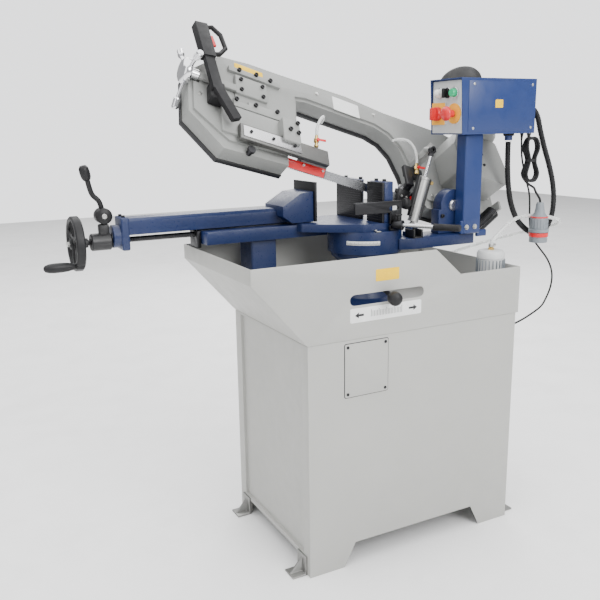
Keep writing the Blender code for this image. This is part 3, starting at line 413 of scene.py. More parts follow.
def lathe(profile, base, direction, sides=40):
    """Turn a closed profile of (radius, height) about an axis; radii of 0 meet on the axis."""
    bm = bmesh.new()
    rings = []
    for radius, height in profile:
        if radius < 1e-6:
            rings.append([bm.verts.new((0, 0, height))])
        else:
            rings.append([bm.verts.new((radius * cos(2 * pi * k / sides), radius * sin(2 * pi * k / sides),
                                        height)) for k in range(sides)])
    closed = profile[0][0] > 1e-6
    for lower, upper in zip(rings, rings[1:] + rings[:1]) if closed else zip(rings, rings[1:]):
        for k in range(sides):
            corners = [lower[k % len(lower)], lower[(k + 1) % len(lower)],
                       upper[(k + 1) % len(upper)], upper[k % len(upper)]]
            unique = list(dict.fromkeys(corners))
            if len(unique) > 2:
                bm.faces.new(unique)
    turn = Vector(direction).normalized().to_track_quat('Z', 'Y').to_matrix().to_4x4()
    bmesh.ops.transform(bm, matrix=Matrix.Translation(base) @ turn, verts=bm.verts)
    bmesh.ops.recalc_face_normals(bm, faces=bm.faces)
    return bm


def rod(start, end, radius, sides=32, edge=0.6):
    """Round bar with eased ends."""
    start, end = Vector(start), Vector(end)
    size = (end - start).length
    edge = min(edge, radius * 0.4, size * 0.3)
    profile = [(0, 0), (radius - edge, 0), (radius, edge), (radius, size - edge), (radius - edge, size),
               (0, size)]
    return lathe(profile, start, end - start, sides)


def ring(center, direction, outer, inner, width, sides=40, edge=0.6):
    half = width / 2
    profile = [(inner, -half + edge), (inner + edge, -half), (outer - edge, -half), (outer, -half + edge),
               (outer, half - edge), (outer - edge, half), (inner + edge, half), (inner, half - edge)]
    return lathe(profile, center, direction, sides)


def beam(start, end, width, height, up=(0, 0, 1), edge=0.8):
    """Rectangular bar between two points; height is measured near the up direction."""
    start, end = Vector(start), Vector(end)
    along = (end - start).normalized()
    side = along.cross(Vector(up)).normalized()
    top = side.cross(along)
    bm = box((0, -width / 2, -height / 2), ((end - start).length, width / 2, height / 2), edge)
    turn = Matrix((along, -side, top)).transposed().to_4x4()
    bmesh.ops.transform(bm, matrix=Matrix.Translation(start) @ turn, verts=bm.verts)
    return bm


def frames_along(points, normal=None):
    """Tangent and two cross directions at each point, turned as little as possible from one to the next."""
    result = []
    for i, point in enumerate(points):
        before = (point - points[i - 1]).normalized() if i else (points[1] - point).normalized()
        after = (points[i + 1] - point).normalized() if i + 1 < len(points) else before
        tangent = (before + after).normalized()
        if normal is None:
            normal = tangent.orthogonal()
        normal = (normal - tangent * normal.dot(tangent)).normalized()
        result.append((tangent, normal, tangent.cross(normal)))
    return result


def tube(points, radius, sides=12, wave=None):
    """Closed tube through the points; wave gives a change of radius for each point's index."""
    points = [Vector(p) for p in points]
    bm = bmesh.new()
    rings = []
    for i, (point, (_, normal, other)) in enumerate(zip(points, frames_along(points))):
        r = radius + (wave(i) if wave else 0)
        rings.append([bm.verts.new(point + (normal * cos(2 * pi * k / sides) + other * sin(2 * pi * k / sides)) * r)
                      for k in range(sides)])
    for lower, upper in zip(rings, rings[1:]):
        for k in range(sides):
            bm.faces.new((lower[k], lower[(k + 1) % sides], upper[(k + 1) % sides], upper[k]))
    bm.faces.new(rings[0])
    bm.faces.new(rings[-1])
    bmesh.ops.recalc_face_normals(bm, faces=bm.faces)
    return bm


def loft(sections):
    """Closed skin through rings of equally many points, capped at both ends."""
    bm = bmesh.new()
    rings = [[bm.verts.new(p) for p in section] for section in sections]
    count = len(rings[0])
    for lower, upper in zip(rings, rings[1:]):
        for k in range(count):
            bm.faces.new((lower[k], lower[(k + 1) % count], upper[(k + 1) % count], upper[k]))
    bm.faces.new(rings[0])
    bm.faces.new(rings[-1])
    bmesh.ops.recalc_face_normals(bm, faces=bm.faces)
    return bm


def smooth_route(points, spacing):
    """Points at an even spacing on a Catmull-Rom curve through the route's points."""
    points = [Vector(p) for p in points]
    ends = [points[0] * 2 - points[1], *points, points[-1] * 2 - points[-2]]
    dense = []
    for i in range(1, len(ends) - 2):
        p0, p1, p2, p3 = ends[i - 1:i + 3]
        for k in range(40):
            t = k / 40
            dense.append(0.5 * (2 * p1 + (p2 - p0) * t + (2 * p0 - 5 * p1 + 4 * p2 - p3) * t * t
                                + (3 * p1 - p0 - 3 * p2 + p3) * t ** 3))
    dense.append(points[-1])
    total = sum((b - a).length for a, b in zip(dense, dense[1:]))
    count = max(4, round(total / spacing))
    result, walked = [dense[0]], 0
    for a, b in zip(dense, dense[1:]):
        step = (b - a).length
        while walked + step >= total / count * len(result) and len(result) < count:
            result.append(a.lerp(b, (total / count * len(result) - walked) / step))
        walked += step
    result.append(dense[-1])
    return result


# ---------------------------------------------------------------- pieces

def piece(name, body, look, solids, space=DESIGN, stands_for=(), smooth=32):
    """Join drawn solids into one piece that rides on a body."""
    mesh = bpy.data.meshes.new(name)
    whole = bmesh.new()
    for solid in solids:
        part = bpy.data.meshes.new("part")
        solid.to_mesh(part)
        solid.free()
        whole.from_mesh(part)
        bpy.data.meshes.remove(part)
    bmesh.ops.transform(whole, matrix=space, verts=whole.verts)
    whole.to_mesh(mesh)
    whole.free()
    return settle(name, mesh, body, look, stands_for, smooth)


def settle(name, mesh, body, look, stands_for=(), smooth=32):
    mesh.materials.clear()
    mesh.materials.append(looks()[look])
    mesh.shade_smooth()
    mesh.set_sharp_from_angle(angle=radians(smooth))
    obj = bpy.data.objects.new(name, mesh)
    bpy.context.scene.collection.objects.link(obj)
    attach(obj, body)
    if stands_for:
        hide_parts(*stands_for)
    return obj


def flattened(obj):
    """The object's mesh with its modifiers applied."""
    graph = bpy.context.evaluated_depsgraph_get()
    graph.update()
    return bpy.data.meshes.new_from_object(obj.evaluated_get(graph))


def dressed(node, look, edge, steps=2, extra=(), space=DESIGN, least=32):
    """A CAD node's own shape with its edges rounded, joined by more solids, in place of the node."""
    source = frame["nodes"][node]
    bm = bmesh.new()
    bm.from_mesh(source.data)
    bmesh.ops.remove_doubles(bm, verts=bm.verts, dist=2e-6)
    bmesh.ops.dissolve_limit(bm, angle_limit=radians(0.6), verts=bm.verts, edges=bm.edges)
    mesh = bpy.data.meshes.new("shape")
    bm.to_mesh(mesh)
    bm.free()
    shape = bpy.data.objects.new("shape", mesh)
    bpy.context.scene.collection.objects.link(shape)
    if edge:
        bevel = shape.modifiers.new("edges", 'BEVEL')
        bevel.width = edge * MM
        bevel.segments = steps
        bevel.limit_method = 'ANGLE'
        bevel.angle_limit = radians(least)
        bevel.use_clamp_overlap = True
    result = flattened(shape)
    bpy.data.objects.remove(shape)
    whole = bmesh.new()
    whole.from_mesh(result)
    for solid in extra:
        bmesh.ops.transform(solid, matrix=space, verts=solid.verts)
        part = bpy.data.meshes.new("part")
        solid.to_mesh(part)
        solid.free()
        whole.from_mesh(part)
    final = bpy.data.meshes.new(node)
    whole.to_mesh(final)
    whole.free()
    return settle(node + "_finished", final, source["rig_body"], look, (node,))


def repeat_tree(name, template, look):
    """Geometry Nodes that put a copy of a template on every point, turned so that its Z follows 'way'."""
    tree = bpy.data.node_groups.new(name, 'GeometryNodeTree')
    tree.interface.new_socket("Geometry", in_out='INPUT', socket_type='NodeSocketGeometry')
    size = tree.interface.new_socket("Size", in_out='INPUT', socket_type='NodeSocketFloat')
    size.default_value = 1.0
    spin = tree.interface.new_socket("Spin", in_out='INPUT', socket_type='NodeSocketFloat')
    spin.default_value = 0.0
    tree.interface.new_socket("Geometry", in_out='OUTPUT', socket_type='NodeSocketGeometry')
    nodes, links = tree.nodes, tree.links
    given, made = nodes.new("NodeGroupInput"), nodes.new("NodeGroupOutput")
    info = nodes.new("GeometryNodeObjectInfo")
    info.inputs["Object"].default_value = template
    way = nodes.new("GeometryNodeInputNamedAttribute")
    way.data_type = 'FLOAT_VECTOR'
    way.inputs["Name"].default_value = "way"
    aim = nodes.new("FunctionNodeAlignRotationToVector")
    aim.axis = 'Z'
    twist = nodes.new("FunctionNodeRotateRotation")
    twist.rotation_space = 'LOCAL'
    turn = nodes.new("FunctionNodeAxisAngleToRotation")
    turn.inputs["Axis"].default_value = (0, 0, 1)
    copies = nodes.new("GeometryNodeInstanceOnPoints")
    real = nodes.new("GeometryNodeRealizeInstances")
    paint = nodes.new("GeometryNodeSetMaterial")
    paint.inputs["Material"].default_value = look
    links.new(given.outputs["Geometry"], copies.inputs["Points"])
    links.new(info.outputs["Geometry"], copies.inputs["Instance"])
    links.new(way.outputs["Attribute"], aim.inputs["Vector"])
    links.new(aim.outputs["Rotation"], twist.inputs["Rotation"])
    links.new(given.outputs["Spin"], turn.inputs["Angle"])
    links.new(turn.outputs["Rotation"], twist.inputs["Rotate By"])
    links.new(twist.outputs["Rotation"], copies.inputs["Rotation"])
    links.new(given.outputs["Size"], copies.inputs["Scale"])
    links.new(copies.outputs["Instances"], real.inputs["Geometry"])
    links.new(real.outputs["Geometry"], paint.inputs["Geometry"])
    links.new(paint.outputs["Geometry"], made.inputs["Geometry"])
    return tree


def repeated(name, body, look, solid, places, space=DESIGN, scale=1.0, spin=0.0, smooth=32):
    """Copies of one drawn solid at each (point, direction), made with Geometry Nodes."""
    part = bpy.data.meshes.new("template")
    bmesh.ops.scale(solid, vec=(MM, MM, MM), verts=solid.verts)
    solid.to_mesh(part)
    solid.free()
    template = bpy.data.objects.new("template", part)
    bpy.context.scene.collection.objects.link(template)
    points = bpy.data.meshes.new("points")
    points.from_pydata([space @ Vector(p) for p, _ in places], [], [])
    way = points.attributes.new("way", 'FLOAT_VECTOR', 'POINT')
    turn = space.to_3x3()
    for item, (_, direction) in zip(way.data, places):
        item.vector = (turn @ Vector(direction)).normalized()
    carrier = bpy.data.objects.new("carrier", points)
    bpy.context.scene.collection.objects.link(carrier)
    tree = repeat_tree(name + " copies", template, looks()[look])
    modifier = carrier.modifiers.new("copies", 'NODES')
    modifier.node_group = tree
    for item in tree.interface.items_tree:
        if item.item_type == 'SOCKET' and item.in_out == 'INPUT' and item.name == "Size":
            modifier[item.identifier] = scale
        if item.item_type == 'SOCKET' and item.in_out == 'INPUT' and item.name == "Spin":
            modifier[item.identifier] = spin
    mesh = flattened(carrier)
    bpy.data.objects.remove(carrier)
    bpy.data.objects.remove(template)
    return settle(name, mesh, body, look, smooth=smooth)


def hex_bolt(radius=6):
    """Hexagon head on a washer, its seat at the origin."""
    washer = lathe([(0, 0), (radius * 1.25, 0), (radius * 1.25, 1.2), (0, 1.2)], (0, 0, 0), (0, 0, 1), 24)
    head = lathe([(0, 1.2), (radius, 1.2), (radius, radius * 0.68), (radius * 0.86, radius * 0.8),
                  (0, radius * 0.8)], (0, 0, 0), (0, 0, 1), 6)
    return merged(washer, head)


def cap_screw(radius=5):
    """Socket cap head with its hexagon recess, its seat at the origin."""
    sides = 24
    height = radius * 1.1
    profile = [(0, 0), (radius, 0), (radius, height * 0.9), (radius * 0.9, height), (radius * 0.5, height),
               (radius * 0.46, height * 0.45), (0, height * 0.45)]
    return lathe(profile, (0, 0, 0), (0, 0, 1), sides)


def pan_screw(radius=4):
    """Low domed head with a cross recess drawn as a shallow dish."""
    profile = [(0, 0), (radius, 0), (radius, radius * 0.2), (radius * 0.82, radius * 0.42),
               (radius * 0.34, radius * 0.52), (radius * 0.22, radius * 0.26), (0, radius * 0.2)]
    return lathe(profile, (0, 0, 0), (0, 0, 1), 20)


def merged(*solids):
    whole = bmesh.new()
    for solid in solids:
        part = bpy.data.meshes.new("part")
        solid.to_mesh(part)
        solid.free()
        whole.from_mesh(part)
        bpy.data.meshes.remove(part)
    return whole


def seat(node, point, way, space=DESIGN):
    """Where a line from a point first meets a CAD node, in millimetres of the given space."""
    mesh = frame["nodes"][node].data
    tree = BVHTree.FromPolygons([v.co for v in mesh.vertices], [p.vertices[:] for p in mesh.polygons])
    for nudge in ((0, 0, 0), (0.4, 0.3, 0.5), (-0.5, 0.4, -0.3), (3, 2, 3), (-3, -2, -3)):
        start = space @ (Vector(point) + Vector(nudge))
        hit = tree.ray_cast(start, (space.to_3x3() @ Vector(way)).normalized())[0]
        if hit is not None:
            return space.inverted() @ hit
    raise RuntimeError(f"nothing of {node} lies beyond {tuple(point)}")


def seats(node, points, way, space=DESIGN):
    """Seats for several fasteners, each facing back along the line."""
    back = -Vector(way)
    return [(seat(node, point, way, space), back) for point in points]


def carry(look, *nodes):
    """A detailed finish for CAD nodes whose own shape is right."""
    for node in nodes:
        for slot in frame["nodes"][node].material_slots:
            slot.link = 'OBJECT'
            slot.material = looks()[look]


# ---------------------------------------------------------------- stage and cords

def make_stage():
    yaw, pitch, roll = 0.4814, 0.2303, -0.0146
    scene = bpy.context.scene
    camera = bpy.data.cameras.new("camera")
    camera.lens, camera.sensor_width = 44.57, 36
    eye = bpy.data.objects.new("camera", camera)
    forward = Vector((sin(yaw) * cos(pitch), cos(yaw) * cos(pitch), -sin(pitch)))
    right = Vector((cos(yaw), -sin(yaw), 0))
    up = right.cross(forward)
    right, up = right * cos(roll) + up * sin(roll), up * cos(roll) - right * sin(roll)
    eye.matrix_world = (Matrix.Translation((-1.07987, -1.90947, 1.2467))
                        @ Matrix((right, up, -forward)).transposed().to_4x4())
    scene.collection.objects.link(eye)
    scene.camera = eye
    for name, at, aim, power, size in (("key", (0.7, -3.8, 2.9), (0, 0, 0.8), 200, 2.4),
                                       ("fill", (-3.4, -1.6, 2.2), (0, 0, 0.9), 40, 2.6),
                                       ("ceiling", (0, 1.5, 6.0), (0, 1.5, 0), 1250, 12),
                                       ("back", (1.8, 3.4, 2.6), (0, 0, 1.0), 70, 2.6)):
        light = bpy.data.lights.new(name, 'AREA')
        light.energy, light.size = power, size
        lamp = bpy.data.objects.new(name, light)
        lamp.location = at
        lamp.rotation_euler = (Vector(aim) - Vector(at)).to_track_quat('-Z', 'Y').to_euler()
        scene.collection.objects.link(lamp)
    world = bpy.data.worlds.new("studio")
    world.use_nodes = True
    tree = world.node_tree
    sky = tree.nodes["Background"]
    sky.inputs["Color"].default_value = (0.98, 0.985, 1.0, 1)
    path = tree.nodes.new("ShaderNodeLightPath")
    level = tree.nodes.new("ShaderNodeMapRange")
    level.inputs["To Min"].default_value = 0.55
    level.inputs["To Max"].default_value = 2.1
    tree.links.new(path.outputs["Is Camera Ray"], level.inputs["Value"])
    tree.links.new(level.outputs["Result"], sky.inputs["Strength"])
    scene.world = world
    bm = bmesh.new()
    bmesh.ops.create_grid(bm, x_segments=24, y_segments=24, size=9)
    mesh = bpy.data.meshes.new("floor")
    bm.to_mesh(mesh)
    bm.free()
    mesh.materials.append(powder_coat("pale floor", (0.90, 0.90, 0.90), 0.7))
    floor = bpy.data.objects.new("floor", mesh)
    scene.collection.objects.link(floor)


def cord_piece(name, body, look, points, radius, nodes, sides=12, wave=None, **facts):
    """A free cord: its tube along the points and what it stands for."""
    points = [Vector(p) for p in points]
    obj = piece(name, body, look, [tube(points, radius, sides, wave)], stands_for=nodes, smooth=60)
    return obj


def hank_route():
    """Mains lead: out of the box, three loops tied at the waist, then down to the plug."""
    centre, low, high, waist, half = 910, 1062, 1199, 1128, 26
    route = [(centre - half, 150, 1213.5), (centre - half, 150, 1190)]
    for turn in range(4):
        y = 150 + 7.2 * turn
        drop = 3 * (turn % 2)
        route += [(centre - half, y, 1166), (centre - 13, 161 + (y - 161) * 0.8, waist),
                  (centre - half, y, 1088)]
        if turn == 3:
            break
        route += [(centre - 16, y + 1, low + 4 + drop), (centre, y + 1.5, low + drop),
                  (centre + 16, y + 2, low + 4 + drop), (centre + half, y + 3, 1088),
                  (centre + 13, 161 + (y + 3.6 - 161) * 0.8, waist), (centre + half, y + 4.5, 1166),
                  (centre + 17, y + 5, high - 5 - drop), (centre, y + 5.5, high - drop),
                  (centre - 17, y + 6, high - 5 - drop)]
    route += [(897, 170, 1064), (915, 166, 1049), (928, 160, 1040), (933, 157, 1028), (940, 152, 1014),
              (946, 149, 1003), (948, 148, 992.5)]
    return smooth_route(route, 6)


def strain_relief(start, way, thick, size=26):
    """Ribbed boot that tapers onto a cord."""
    profile = [(0, 0), (thick * 1.9, 0), (thick * 1.9, 4), (thick * 1.5, 5)]
    for k in range(5):
        z = 6 + k * (size - 8) / 5
        r = thick * (1.45 - 0.07 * k)
        profile += [(r, z), (r, z + 2), (r * 0.86, z + 2.3), (r * 0.86, z + (size - 8) / 5 - 0.3)]
    profile += [(thick * 1.04, size), (0, size)]
    return lathe(profile, start, way, 24)


def make_cords():
    conduit = smooth_route(CONDUIT_ROUTE, 1.3)
    cord_piece("conduit_hose", "turntable", "rubber", conduit, 8.6, ("conduit",), 14,
               wave=lambda i: (0.9, 0.45, -0.6, -0.6)[i % 4], far_end="object", stiffness="stiff", lay="hanging")
    plug = make_plug()
    cord_piece("mains_lead", "turntable", "rubber", hank_route(), 3.75, ("mains_hank", "mains_cable"), 12,
               far_end="plug", lay="hanging", with_pieces=[plug])
    cord_piece("pump_lead", "turntable", "rubber", smooth_route(PUMP_CABLE_ROUTE, 9), 3, ("pump_cable",), 10,
               far_end="object", lay="hanging")
    cord_piece("coolant_hose", "stand", "hose", smooth_route(HOSE_ROUTE, 10), 6, ("pump_hose",), 16,
               far_end="object", stiffness="stiff", lay="hanging")
    band = ring((0, 0, 0), (0, 0, 1), 21, 19.4, 10)
    bmesh.ops.scale(band, vec=(1, 0.72, 1), verts=band.verts)
    bmesh.ops.translate(band, vec=(910, 161.5, 1128), verts=band.verts)
    piece("hank_tie", "turntable", "grip", [band])
    piece("cord_boots", "turntable", "plastic",
          [strain_relief((884, 150, 1213.6), (0, 0, -1), 3.75),
           strain_relief(PUMP_CABLE_ROUTE[0], (0, 0, -1), 3, 20),
           strain_relief(Vector(PUMP_CABLE_ROUTE[-1]), (1, 0, 0.1), 3, 20)])


def make_plug():
    """Five-pin plug: grey body with a red cap ring, ribbed for grip, its pins inside the open skirt."""
    down = Vector((0, 0, -1))
    body = lathe([(0, 0), (10, 0), (12, 4), (14, 20), (17, 34), (25, 44), (28, 50), (28, 86), (32.6, 88),
                  (32.6, 96), (29, 98), (29, 130), (25.5, 130), (25.5, 98), (0, 98)], PLUG_TOP, down, 48)
    ribs = []
    for k in range(18):
        t = 2 * pi * k / 18
        out = Vector((cos(t), sin(t), 0))
        ribs.append(beam(PLUG_TOP + out * 28 + down * 53, PLUG_TOP + out * 28 + down * 84, 4, 2.6, out))
    obj = piece("plug_body", "turntable", "grey_plastic", [body, *ribs], stands_for=("mains_plug",))
    pins = [rod(PLUG_TOP + Vector((14 * cos(t), 14 * sin(t), -97)), PLUG_TOP + Vector((14 * cos(t), 14 * sin(t), -124)),
                3, 12) for t in (2 * pi * k / 5 for k in range(5))]
    piece("plug_pins", "turntable", "brass", pins)
    piece("plug_collar", "turntable", "red", [ring(PLUG_TOP + down * 105, down, 31.6, 29.2, 13, 48),
                                              ring(PLUG_TOP + down * 47.5, down, 28.5, 24, 4, 48)])
    return obj


# ---------------------------------------------------------------- stand

def make_cabinet():
    dressed("cabinet", "coat", 1.6, 3)
    front = seat("cabinet", (183, -60, 595), (0, 1, 0)).y
    cover = prism(oblong((113, 519), (253, 671), 6), front - 2.2, front + 0.3, "Y", 0.6)
    piece("service_cover", "stand", "coat", [cover])
    gasket = prism(oblong((111.2, 517.2), (254.8, 672.8), 7), front - 0.9, front + 0.3, "Y", 0.2)
    piece("service_cover_gasket", "stand", "rubber", [gasket])
    screws = [((x, front - 2.2, z), (0, -1, 0)) for x in (122, 244) for z in (528, 662)]
    repeated("service_cover_screws", "stand", "black_screw", pan_screw(4.5), screws)
    for node in ("foot_front_left", "foot_front_right", "foot_rear_left", "foot_rear_right"):
        dressed(node, "galvanised", 1.2)


def make_tray():
    dressed("tray", "coat", 1.4, 2)
    dressed("front_panel", "coat", 1.2, 2)
    face = seat("front_panel", (248, -80, 850), (0, 1, 0)).y
    piece("blank_yellow_plate", "stand", "label",
          [prism(oblong((210, 835), (286, 868), 3), face - 0.9, face + 0.2, "Y", 0.3)])
    piece("slot_scale", "stand", "paper",
          [prism(oblong((129, 728), (363, 768), 5), face - 0.8, face + 0.2, "Y", 0.2)])
    arrows = []
    for x, way in ((160, -1), (332, 1)):
        arrows.append(prism([(x - 12 * way, 745), (x + 4 * way, 745), (x + 4 * way, 740), (x + 16 * way, 748),
                             (x + 4 * way, 756), (x + 4 * way, 751), (x - 12 * way, 751)][::way],
                            face - 1.3, face - 0.6, "Y", 0))
    ticks = [box((x - 0.5, face - 1.3, 740), (x + 0.5, face - 0.6, 756 if k % 5 else 760), 0)
             for k, x in enumerate(range(196, 300, 5))]
    piece("slot_scale_marks", "stand", "ink", [*arrows, *ticks])
    heads = [((79, face, 694), (0, -1, 0)), ((665, face, 692), (0, -1, 0))]
    heads = [(seat("tray", (x, -80, z), (0, 1, 0)), way) for (x, _, z), way in heads]
    repeated("tray_bolts", "stand", "black_screw", hex_bolt(7), heads)


def make_pump():
    x, y = 674, 68
    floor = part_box("coolant_pump")[0].z / MM
    at = Vector((x, y, floor))
    up = (0, 0, 1)
    body = lathe([(0, 0), (50, 0), (50, 5), (46, 7), (46, 104), (49, 106), (49, 111), (42, 113), (42, 116),
                  (0, 116)], at, up, 56)
    fins = []
    for k in range(24):
        t = 2 * pi * k / 24
        out = Vector((cos(t), sin(t), 0))
        fins.append(beam(at + out * 41.5 + Vector((0, 0, 118)), at + out * 41.5 + Vector((0, 0, 158)), 2.4, 5, out))
    cap = lathe([(0, 112), (40, 112), (40, 160), (42, 162), (42, 176), (37, 184), (30, 185.5), (0, 185.5)],
                at, up, 56)
    piece("pump_motor", "stand", "grey_plastic", [body, *fins], stands_for=("coolant_pump",))
    piece("pump_cap", "stand", "panel", [cap])
    piece("pump_hose_clip", "stand", "screw", [ring(Vector(HOSE_ROUTE[0]) + Vector((0, 0, 12)), up, 8, 6.2, 9),
                                               box((680, 64, 880), (690, 72, 889), 1)])
    piece("pump_outlet", "stand", "brass",
          [lathe([(0, 0), (10, 0), (10, 6), (8, 7), (8, 12), (0, 12)], (x, y, floor + 184), up, 6)])


# ---------------------------------------------------------------- vice

def make_vice():
    edge = sizes().edge / MM
    for node in ("turntable_base", "vice_bed", "fixed_jaw_front", "fixed_jaw_rear"):
        dressed(node, "casting", edge, 3)
    for node in ("jaw_plate_front", "jaw_plate_rear", "moving_jaw_plate"):
        teeth = []
        low, high = (DESIGN.inverted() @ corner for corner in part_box(node))
        flip = node == "moving_jaw_plate"
        x = high.x if flip else low.x
        for k in range(int((high.z - low.z - 12) / 7)):
            z = low.z + 8 + 7 * k
            teeth.append(box((x - 0.5, low.y + 3, z), (x + 0.5, high.y - 3, z + 1.6), 0.3, 1))
        dressed(node, "dark_steel", 1.0, 2, teeth)
    dressed("nut_block", "dark_steel", 1)
    places = []
    for k in range(6):
        t = 2 * pi * (k + 0.5) / 6
        places.append((Vector((363 + 112 * cos(t), 295 + 112 * sin(t), 800)), (0, 0, -1)))
    places = [(seat("turntable_base", point, way), (0, 0, 1)) for point, way in places
              if point.y < 400]
    repeated("base_bolts", "stand", "black_screw", hex_bolt(8), places)
    caps = [(Vector((x, y, 1150)), (0, 0, -1)) for x, y in ((385, 222), (383, 262), (384, 352), (384, 440))]
    tops = [(seat("fixed_jaw_front" if p.y < 300 else "fixed_jaw_rear", p, way), (0, 0, 1)) for p, way in caps]
    repeated("jaw_screws", "stand", "black_screw", cap_screw(6), tops)


def make_ram():
    dressed("ram", "casting", sizes().edge / MM, 3)
    face = seats("ram", [(-361, 395, 1100), (-361, 430, 1100)], (0, 0, -1))
    repeated("ram_screws", "ram", "black_screw", cap_screw(5), face)


def make_handwheel():
    at = Vector((-495, 412, 943))
    pitch = sizes().thread / MM
    rim = ring(at + Vector((5, 0, 0)), (1, 0, 0), 75, 62, 24, 72, 3.5)
    hub = lathe([(0, -12), (11, -12), (15, -8), (15, 20), (13, 36), (0, 36)], at, (1, 0, 0), 32)
    spokes = []
    for t in (radians(-90), radians(30), radians(150)):
        out = Vector((0, cos(t), sin(t)))
        sections = []
        for k in range(7):
            s = k / 6
            mid = at + out * (8 + 57 * s) + Vector((-3 * sin(pi * s), 0, 0))
            wide, deep = 8 - 3.2 * s, 5 - 1.4 * s
            side = out.cross(Vector((1, 0, 0)))
            sections.append([mid + side * wide * cos(a) + Vector((deep * sin(a), 0, 0))
                             for a in (2 * pi * j / 12 for j in range(12))])
        spokes.append(loft(sections))
    ear = rod(at + Vector((-8, -40.8, -54.4)), at + Vector((13, -40.8, -54.4)), 10.5, 28, 1.5)
    piece("handwheel_rim", "handwheel", "plastic", [rim, hub, *spokes, ear], stands_for=("handwheel",))
    rings, steps, turns = [], 4, int(388 / pitch)
    sides = 14
    screw = bmesh.new()
    for k in range(turns * steps + 1):
        x = at.x + 36 + k * pitch / steps
        loop = []
        for j in range(sides):
            phase = (k / steps - j / sides) % 1
            r = 8 - 1.3 * min(1, max(0, 2 - abs(phase - 0.5) * 8))
            loop.append(screw.verts.new((x, at.y + r * cos(2 * pi * j / sides), at.z + r * sin(2 * pi * j / sides))))
        rings.append(loop)
    for lower, upper in zip(rings, rings[1:]):
        for j in range(sides):
            screw.faces.new((lower[j], lower[(j + 1) % sides], upper[(j + 1) % sides], upper[j]))
    screw.faces.new(rings[0])
    screw.faces.new(rings[-1])
    bmesh.ops.recalc_face_normals(screw, faces=screw.faces)
    piece("lead_screw", "handwheel", "black_screw", [screw], smooth=50)
    piece("handwheel_nut", "handwheel", "screw",
          [lathe([(0, -20), (6, -20), (7.5, -18.5), (7.5, -11.5), (0, -11.5)], at, (1, 0, 0), 6)])
    grip = at + Vector((-7.3, -40.8, -54.4))
    piece("crank_grip", "crank", "plastic",
          [lathe([(0, 0), (6, 0), (7, 3), (9, 8), (12, 22), (13.2, 40), (13.2, 58), (12, 70), (9, 80),
                  (4, 84), (0, 84)],
                 grip, (-1, 0, 0), 36)], stands_for=("crank_handle",), smooth=50)
    cam = Vector((-412, 412, 1014))
    yoke = [ring((-423, at.y, at.z), (1, 0, 0), 24, 10, 56, 40, 3),
            box((-427, 401, 958), (-399, 423, 991.4), 4)]
    piece("cam_yoke", "ram", "black_coat", yoke)
    disc = lathe([(0, -20), (20, -20), (22, -18), (22, 18), (20, 20), (0, 20)], cam, (0, 1, 0), 40)
    shank = tube(smooth_route([cam + Vector(p) for p in ((0, 0, 10), (-8, 0, 40), (-26, 0, 62), (-38, -6, 108))], 6),
                 7, 18)
    knob = lathe([(0, 0), (8, 0), (10, 2), (13, 9), (14, 22), (13, 34), (9, 40.5), (0, 42)],
                 cam + Vector((-36, -5, 98)), (-12, -6, 46), 32)
    piece("clamp_handle", "clamp", "plastic", [disc, shank, knob], stands_for=("clamp_lever",), smooth=50)
    piece("clamp_pin", "clamp", "screw", [rod(cam + Vector((0, -21.5, 0)), cam + Vector((0, -19, 0)), 7, 24)])


def make_levers():
    angle = radians(19)
    at = Vector((*MITRE.xy, 790))
    tip = Vector((-sin(angle), -cos(angle), 0))
    hub = ring(at, (0, 0, 1), 82, 62.5, 20, 56, 1.5)
    bar = rod(at + tip * 76, at + tip * 330, 7, 28)
    piece("lock_bar", "lock", "black_screw", [hub, bar], stands_for=("lock_lever",))
    piece("lock_knob", "lock", "plastic",
          [lathe([(0, 0), (10, 0), (12, 5), (17, 9), (19.5, 16), (19.5, 30), (16, 39), (9, 43.4), (0, 44)],
                 at + tip * 328, tip, 40)], smooth=50)
    dressed("stop_bracket", "dark_steel", 1.2)
    way = Vector((140, -220, 0)).normalized()
    boss = Vector((404, 172, 955))
    piece("stop_bar", "stop", "turned_steel", [rod(boss - way * 16, boss + way * 120, 6, 28)], stands_for=("stop_rod",))
    grooves = [(0, 110), (10, 110)]
    for k in range(14):
        z = 114 + 5.2 * k
        grooves += [(10, z), (9.2, z + 0.8), (10, z + 1.6)]
    piece("stop_sleeve", "stop", "grip", [lathe([*grooves, (10, 188), (8.5, 190), (0, 190)], boss, way, 28)])
    piece("stop_clamp", "stand", "black_screw",
          [rod(boss + Vector((0, 0, 14)), boss + Vector((0, 0, 32)), 4, 20),
           rod(boss + Vector((-12, 0, 30)), boss + Vector((12, 0, 30)), 2.6, 14)])


# ---------------------------------------------------------------- turntable, column and control box

